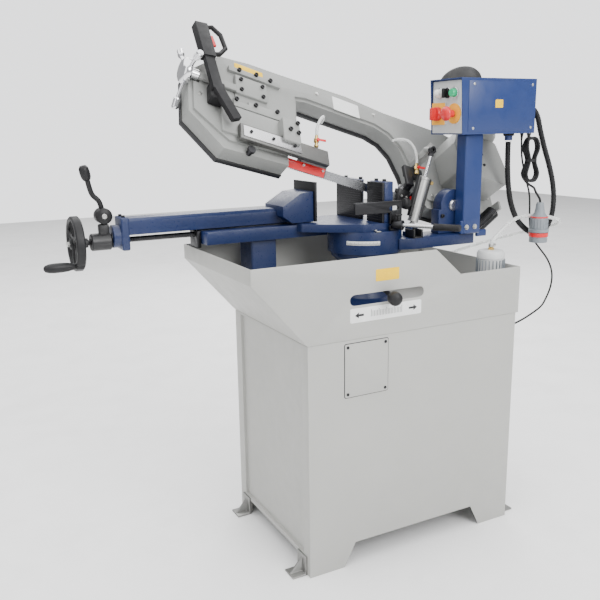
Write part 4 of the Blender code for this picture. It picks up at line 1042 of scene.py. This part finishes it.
def make_turntable():
    edge = sizes().edge / MM
    dressed("turntable", "casting", edge, 3)
    dressed("pivot_bracket", "casting", edge, 3)
    dressed("column", "blue_sheet", 2, 3)
    carry("steel", "pivot_shaft", "drive_shaft")
    centre = Vector((*MITRE.xy, 0))
    start, end = radians(210), radians(261)

    def band(low, high, radius, thick, first, last, steps):
        sections = []
        for k in range(steps + 1):
            t = first + (last - first) * k / steps
            out = Vector((cos(t), sin(t), 0))
            sections.append([centre + out * r + Vector((0, 0, z))
                             for r, z in ((radius, low), (radius + thick, low),
                                          (radius + thick, high), (radius, high))])
        return loft(sections)

    piece("mitre_scale", "turntable", "paper", [band(898, 910, 114.6, 0.9, start, end, 28)])
    marks = [band(898.6, 904 + 3 * (k % 5 == 0), 115.3, 0.6, t, t + 0.006, 1)
             for k, t in enumerate(start + (end - start) * j / 45 for j in range(1, 45))]
    piece("mitre_scale_marks", "turntable", "ink", marks)
    piece("mitre_pointer", "stand", "screw",
          [prism([(332, 180), (348, 180), (344, 204), (336, 204)], 937, 940, "Z", 0.4),
           lathe([(0, 0), (4, 0), (4, 3), (0, 3)], (340, 197, 940), (0, 0, 1), 6)])
    bolts = seats("pivot_bracket", [(598, 200, 925), (686, 200, 925), (598, 200, 965), (686, 200, 965)], (0, 1, 0))
    repeated("bracket_bolts", "turntable", "black_screw", cap_screw(6), bolts)
    pivot = Vector((642.4, 211, 995.5))
    piece("pivot_cap", "turntable", "steel",
          [lathe([(0, 0), (17, 0), (17, 3), (14, 5), (8, 5), (7, 3.5), (0, 3.5)], pivot, (0, -1, 0), 40)])
    bolts = seats("column", [(658, 100, 930), (690, 100, 930)], (0, 1, 0))
    repeated("column_bolts", "turntable", "screw", hex_bolt(6.5), bolts)
    u_bracket = [box((465, 178, 908), (471, 222, 934), 1.2), box((494, 178, 908), (500, 222, 934), 1.2),
                 box((465, 178, 907), (500, 222, 912), 1.2)]
    piece("angle_stop_bracket", "turntable", "black_coat", u_bracket)
    piece("angle_stop_bolt", "turntable", "black_screw",
          [rod((482, 200, 912), (482, 200, 944), 5, 20),
           lathe([(0, 0), (9, 0), (9, 6), (8, 7), (0, 7)], (482, 200, 940), (0, 0, 1), 6)])


def make_control_box():
    dressed("control_box", "blue_sheet", 1.6, 3)
    dressed("control_panel", "panel", 1.2, 2)
    right = BOX_X[1]
    front = BOX_Y[0]
    lid = [box((BOX_X[0] + 26, front - 1.4, BOX_Z[0] + 8), (right - 8, front + 0.4, BOX_Z[1] - 8), 1)]
    piece("box_side_cover", "turntable", "blue_sheet", lid)
    corners = [((x, front - 1.4, z), (0, -1, 0)) for x in (649, 881) for z in (BOX_Z[0] + 18, BOX_Z[1] - 18)]
    repeated("box_screws", "turntable", "screw", pan_screw(4), corners)
    piece("blank_box_plate", "turntable", "label",
          [prism(oblong((733, 1292), (763, 1316), 3), front - 1.9, front - 1.2, "Y", 0.1)])
    glands = []
    for at, way in ((Vector((846, 200, BOX_Z[0])), Vector((0, 0, -1))),
                    (Vector((right, 205, 1290)), Vector((1, 0, 0)))):
        glands.append(lathe([(0, 0), (18, 0), (18, 7), (0, 7)], at + way * 0.4, way, 6))
    piece("conduit_nuts", "turntable", "plastic", glands)
    plate_x = PANEL_X - 6
    yellow = prism(oblong((PANEL_LEFT - 33, PANEL_LOW - 33), (PANEL_LEFT + 31, PANEL_LOW + 33), 4),
                   plate_x - 0.8, plate_x + 0.2, "X", 0.5)
    disc = lathe([(0, -5), (30, -5), (30, -0.8), (0, -0.8)], (PANEL_X - 1, PANEL_RIGHT, PANEL_LOW), (1, 0, 0), 48)
    piece("switch_plates", "turntable", "orange", [yellow, disc])


def make_controls():
    toward = (-1, 0, 0)
    main = Vector((PANEL_X - 6, PANEL_LEFT, PANEL_LOW))
    disc = lathe([(0, 0.4), (21, 0.4), (21, 11), (19.5, 14), (0, 14)], main, toward, 48)
    bar = loft([[main + Vector((-14 - 16 * s, 0, 0)) + Vector((0, (7 - 1.6 * s) * u, (20 - 2 * s) * v))
                 for u, v in ((-1, -0.9), (-0.7, -1), (0.7, -1), (1, -0.9), (1, 0.9), (0.7, 1), (-0.7, 1), (-1, 0.9))]
                for s in (-0.1, 0.3, 0.9, 1)])
    piece("main_switch_knob", "main_switch", "red", [disc, bar], stands_for=("main_switch",))
    mushroom = lathe([(0, 5.3), (11, 5.3), (11, 20), (19, 23), (21.5, 27), (21, 33), (16, 38), (8, 40.6), (0, 41)],
                     (PANEL_X - 5, PANEL_RIGHT, PANEL_LOW), toward, 48)
    piece("stop_mushroom", "emergency_stop", "red", [mushroom], stands_for=("emergency_stop",), smooth=50)
    middle = Vector((PANEL_X - 0.3, (PANEL_LEFT + PANEL_RIGHT) / 2, PANEL_HIGH))
    knob = lathe([(0, 0.2), (14.6, 0.2), (14.6, 6), (13, 9), (0, 9)], middle, toward, 40)
    fin = box((middle.x - 22, middle.y - 4, middle.z - 14), (middle.x - 8, middle.y + 4, middle.z + 14), 2.4, 4)
    piece("selector_knob", "selector", "plastic", [knob, fin], stands_for=("selector",))
    start = Vector((PANEL_X - 0.3, PANEL_RIGHT, PANEL_HIGH))
    piece("start_cap", "start_button", "green",
          [lathe([(0, 5), (12.4, 5), (12.4, 15), (11, 17.6), (0, 18)], start, toward, 40)],
          stands_for=("start_button",))
    lamp = Vector((PANEL_X - 0.3, PANEL_LEFT, PANEL_HIGH))
    piece("signal_lens", "turntable", "pale_plastic",
          [lathe([(0, 0), (13, 0), (13, 7), (12, 14), (9, 18.6), (5, 20.6), (0, 21)], lamp, toward, 40)],
          stands_for=("signal_lamp",), smooth=50)
    piece("control_collars", "turntable", "chrome",
          [ring(middle + Vector((-1.6, 0, 0)), toward, 17, 14.9, 3.2),
           ring(start + Vector((-3, 0, 0)), toward, 16.5, 13, 6),
           ring(lamp + Vector((-2, 0, 0)), toward, 16.5, 13.2, 4)])


# ---------------------------------------------------------------- feed cylinder and spring

def make_feed():
    along = (ROD_PIN - FOOT_PIN).normalized()
    side = Vector((-along.z, 0, along.x))
    carrier = frame["nodes"]["feed_cylinder"]["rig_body"]
    barrel = lathe([(6.8, 158), (6.8, 60), (0, 60), (0, 16), (17, 16), (17, 24), (16, 25), (16, 148),
                    (17.2, 149), (17.2, 157),
                    (16, 158)], FOOT_PIN, along, 44)
    neck = rod(FOOT_PIN + along * 8, FOOT_PIN + along * 20, 7, 24)
    eye = ring(FOOT_PIN, (0, 1, 0), 12, 5.3, 16, 36)
    piece("feed_barrel", carrier, "alloy", [barrel, neck, eye], stands_for=("feed_cylinder",))
    strips = [beam(FOOT_PIN + along * 30 + side * s * 19, FOOT_PIN + along * 156 + side * s * 19, 15, 9, side, 1.5)
              for s in (-1, 1)]
    piece("feed_strips", carrier, "black_coat", strips)
    piece("piston", "piston", "chrome", [rod(ROD_PIN - along * 150, ROD_PIN - along * 11, 6, 32)],
          stands_for=("piston_rod",))
    piece("piston_eye", "piston", "dark_steel", [ring(ROD_PIN, (0, 1, 0), 12, 6, 12, 36),
                                                 lathe([(6.2, -20), (9, -20), (9, -11.8), (6.2, -11.8)],
                                                       ROD_PIN, along, 6)])
    at = FOOT_PIN + along * 62 + side * 24
    knurl = []
    for k in range(24):
        t = 2 * pi * k / 24
        out = Vector((0, 1, 0)) * cos(t) + along * sin(t)
        knurl.append(beam(at + out * 16.2 + side * 11, at + out * 16.4 + side * 25, 2, 1.8, out, 0.4))
    piece("feed_knob_cap", "knob", "grip",
          [lathe([(0, 0.5), (6, 0.5), (6, 8), (14, 9), (16.4, 11), (16.4, 25), (13, 30), (0, 31)],
                 at, side, 36), *knurl],
          stands_for=("feed_knob",))
    top = FOOT_PIN + along * 146
    fitting = [lathe([(0, 0), (6, 0), (6, 8), (0, 8)], top - side * 16, -side, 6),
               rod(top - side * 18, top - side * 32, 3.6, 18),
               lathe([(0, 0), (6, 0), (6, 7), (0, 7)], top - side * 28 + Vector((0, -8, 0)), (0, 1, 0), 6)]
    piece("feed_fittings", carrier, "brass", fitting)


def make_spring():
    along = (SPRING_HIGH - SPRING_LOW).normalized()
    first, other = along.orthogonal().normalized(), along.cross(along.orthogonal().normalized())
    turns = sizes().turns
    points = [SPRING_LOW]
    points.append(SPRING_LOW + along * 9)
    count = turns * 16
    for k in range(count + 1):
        t = 2 * pi * k / 16
        points.append(SPRING_LOW + along * (16 + 87 * k / count) + (first * cos(t) + other * sin(t)) * 20.6)
    points += [SPRING_LOW + along * 109, SPRING_LOW + along * 116]
    hooks = tube([SPRING_LOW + Vector((0, y, 0)) for y in (3, -20, -41.4)], 3, 14)
    piece("balance_spring", "spring", "black_screw", [tube(points, 2.1, 8), hooks],
          stands_for=("return_spring",), smooth=60)


# ---------------------------------------------------------------- saw bow

def make_casting():
    edge = sizes().edge / MM
    dressed("bow_casting", "bow", edge, 3)
    dressed("blade_cover", "black_coat", 1.4, 2)
    front = (0, 1, 0)

    def flat(low, high, thick=0.9, radius=3):
        level = seat("bow_casting", ((low[0] + high[0]) / 2, -200, (low[1] + high[1]) / 2), front, BOW).y
        return prism(oblong(low, high, radius), level - thick, level + 0.2, "Y", 0.3)

    piece("blank_bow_plate", "bow", "paper", [flat((-100, 247), (0, 300))], BOW)
    piece("blank_bow_strip", "bow", "label", [flat((-446, 262), (-352, 287))], BOW)
    heads = seats("bow_casting", [(-453, -200, 133), (-392, -200, 134), (-321, -200, 137), (-438, -200, 250),
                                  (-382, -200, 255), (-335, -200, 252)], front, BOW)
    repeated("gib_screws", "bow", "black_screw", cap_screw(6.5), heads, BOW)
    heads = seats("bow_casting", [(-300, -200, 60), (-274, -200, 90), (-274, -200, 55)], front, BOW)
    repeated("clamp_screws", "bow", "black_screw", cap_screw(6.5), heads, BOW)
    rim = seats("bow_casting", [(-522, -200, 238), (-560, -200, 120), (60, -200, 285), (-160, -200, 285),
                                (474, -200, 262), (516, -200, 90), (250, -200, 20), (440, -200, 20)], front, BOW)
    repeated("cover_bolts", "bow", "screw", hex_bolt(5), rim, BOW)


def make_drive():
    a, t = 431, 109
    axis = Vector((a, -t, 0))
    up = (0, 0, 1)
    dressed("gearbox", "bow", 2.6, 3)
    body = lathe([(0, 261.3), (66, 261.3), (66, 270), (58, 273), (58, 462), (64, 464), (64, 470), (0, 470)],
                 axis, up, 48)
    box_low, box_high = (a - 42, -t - 92, 340), (a + 42, -t - 50, 430)
    terminals = box(box_low, (box_high[0], box_high[1], box_high[2]), 4, 3)
    lid = box((a - 40, -t - 95.5, 343), (a + 40, -t - 91.6, 427), 2, 3)
    piece("motor_body", "bow", "bow_sheet", [body, terminals, lid], BOW, stands_for=("motor",))
    fin = box((-1.1, -4.6, -92), (1.1, 4.6, 92), 0.6, 1)
    places = []
    for k in range(sizes().fins):
        angle = 2 * pi * k / sizes().fins
        if abs((angle + pi / 2 + pi) % (2 * pi) - pi) > 0.62:
            places.append((angle, Vector((a + 61.5 * cos(angle), -t + 61.5 * sin(angle), 367))))
    solids = []
    for angle, at in places:
        one = fin.copy()
        turned = Matrix.Translation(at) @ Matrix.Rotation(angle - pi / 2, 4, 'Z')
        bmesh.ops.transform(one, matrix=turned, verts=one.verts)
        solids.append(one)
    fin.free()
    piece("motor_fins", "bow", "bow_sheet", solids, BOW)
    cowl = lathe([(0, 470.5), (74, 470.5), (76, 473), (76, 518), (72, 527), (62, 534), (24, 538),
                  (0, 538)], axis, up, 56)
    grille = []
    for k in range(20):
        angle = 2 * pi * k / 20
        out = Vector((cos(angle), sin(angle), 0))
        grille.append(beam(axis + out * 22 + Vector((0, 0, 538)), axis + out * 60 + Vector((0, 0, 534.6)),
                           3.2, 2.4, up, 0.5))
    rings = [ring(axis + Vector((0, 0, 538.2)), up, r + 1.6, r - 1.6, 2.6, 40) for r in (22, 36, 50)]
    piece("fan_cover", "bow", "plastic", [cowl, *grille, *rings], BOW, stands_for=("fan_cowl",))
    lid_screws = [((a + sx * 34, -t - 95.5, z), (0, -1, 0)) for sx in (-1, 1) for z in (349, 421)]
    repeated("terminal_screws", "bow", "screw", pan_screw(3.6), lid_screws, BOW)
    flange = [((a + 60 * cos(k * pi / 2 + pi / 4), -t + 60 * sin(k * pi / 2 + pi / 4), 261), (0, 0, 1))
              for k in range(4)]
    repeated("motor_flange_bolts", "bow", "black_screw", hex_bolt(5), flange, BOW)
    heads = seats("gearbox", [(DRIVE_A + 43 * cos(u), -300, WHEEL_C + 43 * sin(u))
                              for u in (pi / 6 + pi * k / 3 for k in range(6))], (0, 1, 0), BOW)
    repeated("gearbox_bolts", "bow", "black_screw", cap_screw(4.5), heads, BOW)
    piece("motor_gland", "bow", "plastic",
          [lathe([(0, 0), (11, 0), (11, 6), (9, 7), (9, 14), (0, 14)], (a + 41.6, -t - 70, 360), (1, 0, 0), 6)], BOW)


def make_wheels():
    for node in ("idler_wheel", "drive_wheel"):
        dressed(node, "bow_sheet", 1.2, 2)
    for name, a, body in (("idler_hub_cap", IDLER_A, "idler"), ("drive_hub_cap", DRIVE_A, "drive")):
        piece(name, body, "steel", [ring((a, 14.6, WHEEL_C), (0, 1, 0), 26, 9.6, 3, 48),
                                    ring((a, 17, WHEEL_C), (0, 1, 0), 13, 9.6, 2.4, 6)], BOW)


def blade_line(pitch):
    """Middle line of the blade: point, lean (0 flat on the wheels, 1 upright at the work) and outward angle."""
    left, right, lead, radius = -244, 172, 110, 139.6 + 0.3 + 0.45
    line = []
    span = DRIVE_A - IDLER_A
    count = round(span / pitch)
    for k in range(count):
        a = IDLER_A + span * k / count
        lean = 1 if left < a < right else max(0, 1 - (max(left - a, a - right)) / lead)
        line.append((a, WHEEL_C - radius, lean * lean * (3 - 2 * lean), -pi / 2))
    bend = round(pi * radius / pitch / 4) * 4
    line += [(DRIVE_A + radius * cos(t), WHEEL_C + radius * sin(t), 0, t)
             for t in (-pi / 2 + pi * k / bend for k in range(bend))]
    line += [(DRIVE_A - span * k / count, WHEEL_C + radius, 0, pi / 2) for k in range(count)]
    line += [(IDLER_A + radius * cos(t), WHEEL_C + radius * sin(t), 0, t)
             for t in (pi / 2 + pi * k / bend for k in range(bend))]
    return line


def make_blade():
    pitch = sizes().tooth / MM
    bm = bmesh.new()
    rings = []
    for k, (a, c, lean, angle) in enumerate(blade_line(pitch / 4)):
        turn = Matrix.Rotation(-(pi / 2 - LEAN) * lean, 3, 'X')
        edge, out = turn @ Vector((0, 1, 0)), turn @ Vector((cos(angle), 0, sin(angle)))
        depth = (0, 1.0, 2.2, 2.6)[k % 4]
        rings.append([bm.verts.new(Vector((a, 0, c)) + edge * e + out * o)
                      for e, o in ((-13.5, -0.45), (13.5 - depth, -0.45), (13.5 - depth, 0.45), (-13.5, 0.45))])
    for lower, upper in zip(rings, rings[1:] + rings[:1]):
        for k in range(4):
            bm.faces.new((lower[k], lower[(k + 1) % 4], upper[(k + 1) % 4], upper[k]))
    bmesh.ops.recalc_face_normals(bm, faces=bm.faces)
    piece("toothed_blade", "bow", "blade", [bm], BOW, stands_for=("blade",), smooth=20)


def make_tension():
    dressed("tension_slide", "bow_sheet", 1.5, 2)
    at = Vector((-568, -40, 178))
    left = (-1, 0, 0)
    hub = lathe([(0, 0.4), (14, 0.4), (14, 22), (26, 24), (34, 27), (36, 31), (36, 40), (33, 46),
                  (27, 50), (12, 52), (0, 52)],
                at, left, 56)
    arms, grips = [], []
    for k in range(3):
        t = radians(75 + 120 * k)
        out = Vector((0, cos(t), sin(t)))
        start, end = at + Vector((-34, 0, 0)) + out * 30, at + Vector((-38, 0, 0)) + out * 78
        arms.append(rod(start, end, 5, 24))
        profile = [(0, 0), (8, 0), (10, 4)]
        for j in range(7):
            z = 5 + 3 * j
            profile += [(10, z), (9.3, z + 0.7), (10, z + 1.4)]
        grips.append(lathe([*profile, (10, 27), (8, 31), (0, 32)], end - out * 4, out, 32))
    piece("tension_wheel", "hub", "chrome", [hub, *arms, *grips], BOW, stands_for=("tension_hub",))
    heads = seats("tension_slide", [(-436, -200, 212), (-366, -200, 212), (-436, -200, 174), (-366, -200, 174)],
                  (0, 1, 0), BOW)
    repeated("slide_screws", "tension", "black_screw", cap_screw(6), heads, BOW)


def make_guides():
    dressed("guide_bar", "guide_iron", 1.2, 2)
    dressed("left_guide", "guide_iron", 1.2, 2)
    dressed("right_guide", "black_coat", 1.2, 2)
    level = seat("guide_bar", (-420, -200, 10), (0, 1, 0), BOW).y
    piece("guide_rail", "guide", "steel", [box((-446, level - 2.5, -6), (-262, level + 0.2, 30), 1)], BOW)
    repeated("guide_rail_screws", "guide", "black_screw", cap_screw(4.5),
             [((x, level - 2.4, 12), (0, -1, 0)) for x in (-424, -354, -284)], BOW)
    for name, body, a0, a1 in (("left", "guide", -240, -150), ("right", "bow", 122, 166)):
        bearing = [lathe([(3, -5), (11, -5), (11, 5), (3, 5)], Vector((a, 0, 0)) + UPRIGHT * 34, ACROSS, 32)
                   for a in (a0 + 14, a1 - 14)]
        piece(name + "_bearings", body, "steel", bearing, BOW)
        guard = beam(Vector((a0 - 46 if body == "guide" else a1 + 2, 0, 0)) - ACROSS * 13.4 + UPRIGHT * 2,
                     Vector((a1 - 4 if body == "guide" else a1 + 40, 0, 0)) - ACROSS * 13.4 + UPRIGHT * 2,
                     1.6, 26, UPRIGHT, 0.6)
        piece(name + "_blade_guard", body, "red", [guard], BOW)
        bolts = [(Vector((a, 0, 0)) - ACROSS * 12.6 + UPRIGHT * 8, -ACROSS) for a in (a0 + 12, a1 - 12)]
        repeated(name + "_guide_screws", body, "screw", cap_screw(4), bolts, BOW)


def valve(name, body, at, way, hose):
    """Coolant valve: a brass body, a red lever over it, and its milky hose."""
    way = Vector(way).normalized()
    across = Vector((1, 0, 0))
    piece(name + "_valve", body, "brass",
          [lathe([(0, 0), (7, 0), (7, 6), (5, 7), (5, 14), (8, 15), (8, 26), (5, 27), (5, 36), (0, 36)],
                 at, way, 8)], BOW)
    lift = Vector(at) + way * 20
    out = across.cross(way).normalized()
    if out.y > 0:
        out = -out
    piece(name + "_lever", body, "red",
          [beam(lift + out * 9, lift + out * 11 + across * 26 + way * 3, 7, 3, out, 1),
           lathe([(0, 6), (5, 6), (5, 12), (0, 12)], lift, out, 20)], BOW)
    piece(name + "_feed_tube", body, "hose", [tube(smooth_route(hose, 5), 4.5, 14)], BOW, smooth=60)


def make_handle():
    dressed("handle_bar", "plastic", 3, 3)
    dressed("trigger", "red", 1.5, 3)
    piece("left_latch", "bow", "dark_steel",
          [rod((-415, -22, -31), (-415, -40, -31), 8, 28), rod((-415, -38, -31), (-415, -46, -31), 12, 28)], BOW)


def make_coolant():
    valve("left_coolant", "guide", (-205, -56, 42), (0, -0.25, 1),
          [(-205, -66, 78), (-205, -72, 100), (-196, -80, 128), (-180, -76, 150), (-168, -60, 160), (-160, -38, 166)])
    valve("right_coolant", "bow", (176, -58, 66), (0, -0.25, 1),
          [(176, -68, 102), (175, -74, 124), (166, -80, 150), (150, -76, 176), (132, -58, 190), (120, -38, 196)])


# ---------------------------------------------------------------- operators

class SAW_OT_stage(bpy.types.Operator):
    """Floor, soft lights and the camera"""
    bl_idname = "saw.stage"
    bl_label = "Stage"

    def execute(self, context):
        make_stage()
        return {'FINISHED'}


class SAW_OT_cords(bpy.types.Operator):
    """Conduit, mains lead with its plug, pump lead and coolant hose"""
    bl_idname = "saw.cords"
    bl_label = "Cords"

    def execute(self, context):
        make_cords()
        return {'FINISHED'}


class SAW_OT_cabinet(bpy.types.Operator):
    """Cabinet, service cover and feet"""
    bl_idname = "saw.cabinet"
    bl_label = "Cabinet"

    def execute(self, context):
        make_cabinet()
        return {'FINISHED'}


class SAW_OT_tray(bpy.types.Operator):
    """Tray, front panel, its scale and plates"""
    bl_idname = "saw.tray"
    bl_label = "Chip tray"

    def execute(self, context):
        make_tray()
        return {'FINISHED'}


class SAW_OT_pump(bpy.types.Operator):
    """Pump, cap, outlet and hose clip"""
    bl_idname = "saw.pump"
    bl_label = "Coolant pump"

    def execute(self, context):
        make_pump()
        return {'FINISHED'}


class SAW_OT_vice(bpy.types.Operator):
    """Turntable base, vice bed, jaws and their screws"""
    bl_idname = "saw.vice"
    bl_label = "Vice"

    def execute(self, context):
        make_vice()
        return {'FINISHED'}


class SAW_OT_ram(bpy.types.Operator):
    """Sliding ram of the vice"""
    bl_idname = "saw.ram"
    bl_label = "Ram"

    def execute(self, context):
        make_ram()
        return {'FINISHED'}


class SAW_OT_handwheel(bpy.types.Operator):
    """Handwheel, lead screw, crank grip and clamp lever"""
    bl_idname = "saw.handwheel"
    bl_label = "Handwheel"

    def execute(self, context):
        make_handwheel()
        return {'FINISHED'}


class SAW_OT_levers(bpy.types.Operator):
    """Mitre lock lever and work stop"""
    bl_idname = "saw.levers"
    bl_label = "Levers"

    def execute(self, context):
        make_levers()
        return {'FINISHED'}


class SAW_OT_turntable(bpy.types.Operator):
    """Turntable, pivot bracket, column and angle stop"""
    bl_idname = "saw.turntable"
    bl_label = "Turntable"

    def execute(self, context):
        make_turntable()
        return {'FINISHED'}


class SAW_OT_control_box(bpy.types.Operator):
    """Control box, panel and switch plates"""
    bl_idname = "saw.control_box"
    bl_label = "Control box"

    def execute(self, context):
        make_control_box()
        return {'FINISHED'}


class SAW_OT_controls(bpy.types.Operator):
    """Switches, buttons and the signal lamp"""
    bl_idname = "saw.controls"
    bl_label = "Controls"

    def execute(self, context):
        make_controls()
        return {'FINISHED'}


class SAW_OT_feed(bpy.types.Operator):
    """Feed cylinder, piston rod and feed knob"""
    bl_idname = "saw.feed"
    bl_label = "Feed cylinder"

    def execute(self, context):
        make_feed()
        return {'FINISHED'}


class SAW_OT_spring(bpy.types.Operator):
    """Coil spring between the column and the bow"""
    bl_idname = "saw.spring"
    bl_label = "Balance spring"

    def execute(self, context):
        make_spring()
        return {'FINISHED'}


class SAW_OT_casting(bpy.types.Operator):
    """Bow casting, blade cover, plates and bolts"""
    bl_idname = "saw.casting"
    bl_label = "Bow casting"

    def execute(self, context):
        make_casting()
        return {'FINISHED'}


class SAW_OT_drive(bpy.types.Operator):
    """Gearbox, finned motor and fan cover"""
    bl_idname = "saw.drive"
    bl_label = "Drive"

    def execute(self, context):
        make_drive()
        return {'FINISHED'}


class SAW_OT_wheels(bpy.types.Operator):
    """Idler and drive wheels with their hubs"""
    bl_idname = "saw.wheels"
    bl_label = "Band wheels"

    def execute(self, context):
        make_wheels()
        return {'FINISHED'}


class SAW_OT_blade(bpy.types.Operator):
    """Toothed blade twisted upright at the work"""
    bl_idname = "saw.blade"
    bl_label = "Blade"

    def execute(self, context):
        make_blade()
        return {'FINISHED'}


class SAW_OT_tension(bpy.types.Operator):
    """Tension slide and three-armed wheel"""
    bl_idname = "saw.tension"
    bl_label = "Blade tension"

    def execute(self, context):
        make_tension()
        return {'FINISHED'}


class SAW_OT_guides(bpy.types.Operator):
    """Guide bar, guides, bearings and red guards"""
    bl_idname = "saw.guides"
    bl_label = "Blade guides"

    def execute(self, context):
        make_guides()
        return {'FINISHED'}


class SAW_OT_handle(bpy.types.Operator):
    """Bow handle, trigger and latch"""
    bl_idname = "saw.handle"
    bl_label = "Handle"

    def execute(self, context):
        make_handle()
        return {'FINISHED'}


class SAW_OT_coolant(bpy.types.Operator):
    """Brass valves with red levers and their tubes"""
    bl_idname = "saw.coolant"
    bl_label = "Coolant valves"

    def execute(self, context):
        make_coolant()
        return {'FINISHED'}


OPERATORS = (SAW_OT_stage, SAW_OT_cords, SAW_OT_cabinet, SAW_OT_tray,
             SAW_OT_pump, SAW_OT_vice, SAW_OT_ram, SAW_OT_handwheel,
             SAW_OT_levers, SAW_OT_turntable, SAW_OT_control_box, SAW_OT_controls,
             SAW_OT_feed, SAW_OT_spring, SAW_OT_casting, SAW_OT_drive,
             SAW_OT_wheels, SAW_OT_blade, SAW_OT_tension, SAW_OT_guides,
             SAW_OT_handle, SAW_OT_coolant)


class SAW_PT_panel(bpy.types.Panel):
    """Sizes and colours of the saw, and its building steps in order"""
    bl_label = "Band Saw"
    bl_idname = "SAW_PT_panel"
    bl_space_type = 'VIEW_3D'
    bl_region_type = 'UI'
    bl_category = "Band Saw"

    def draw(self, context):
        layout = self.layout
        for group in (context.scene.saw_sizes, context.scene.saw_colours):
            for name in group.__annotations__:
                layout.prop(group, name)
        for operator in OPERATORS:
            layout.operator(operator.bl_idname)


CLASSES = (SawColours, SawSizes, *OPERATORS, SAW_PT_panel)


def register():
    for cls in CLASSES:
        bpy.utils.register_class(cls)
    bpy.types.Scene.saw_colours = PointerProperty(type=SawColours)
    bpy.types.Scene.saw_sizes = PointerProperty(type=SawSizes)


def unregister():
    del bpy.types.Scene.saw_sizes
    del bpy.types.Scene.saw_colours
    for cls in reversed(CLASSES):
        bpy.utils.unregister_class(cls)


def main():
    register()
    for operator in OPERATORS:
        getattr(bpy.ops.saw, operator.bl_idname.split(".")[1])()
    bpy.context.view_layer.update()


if __name__ == "__main__":
    main()
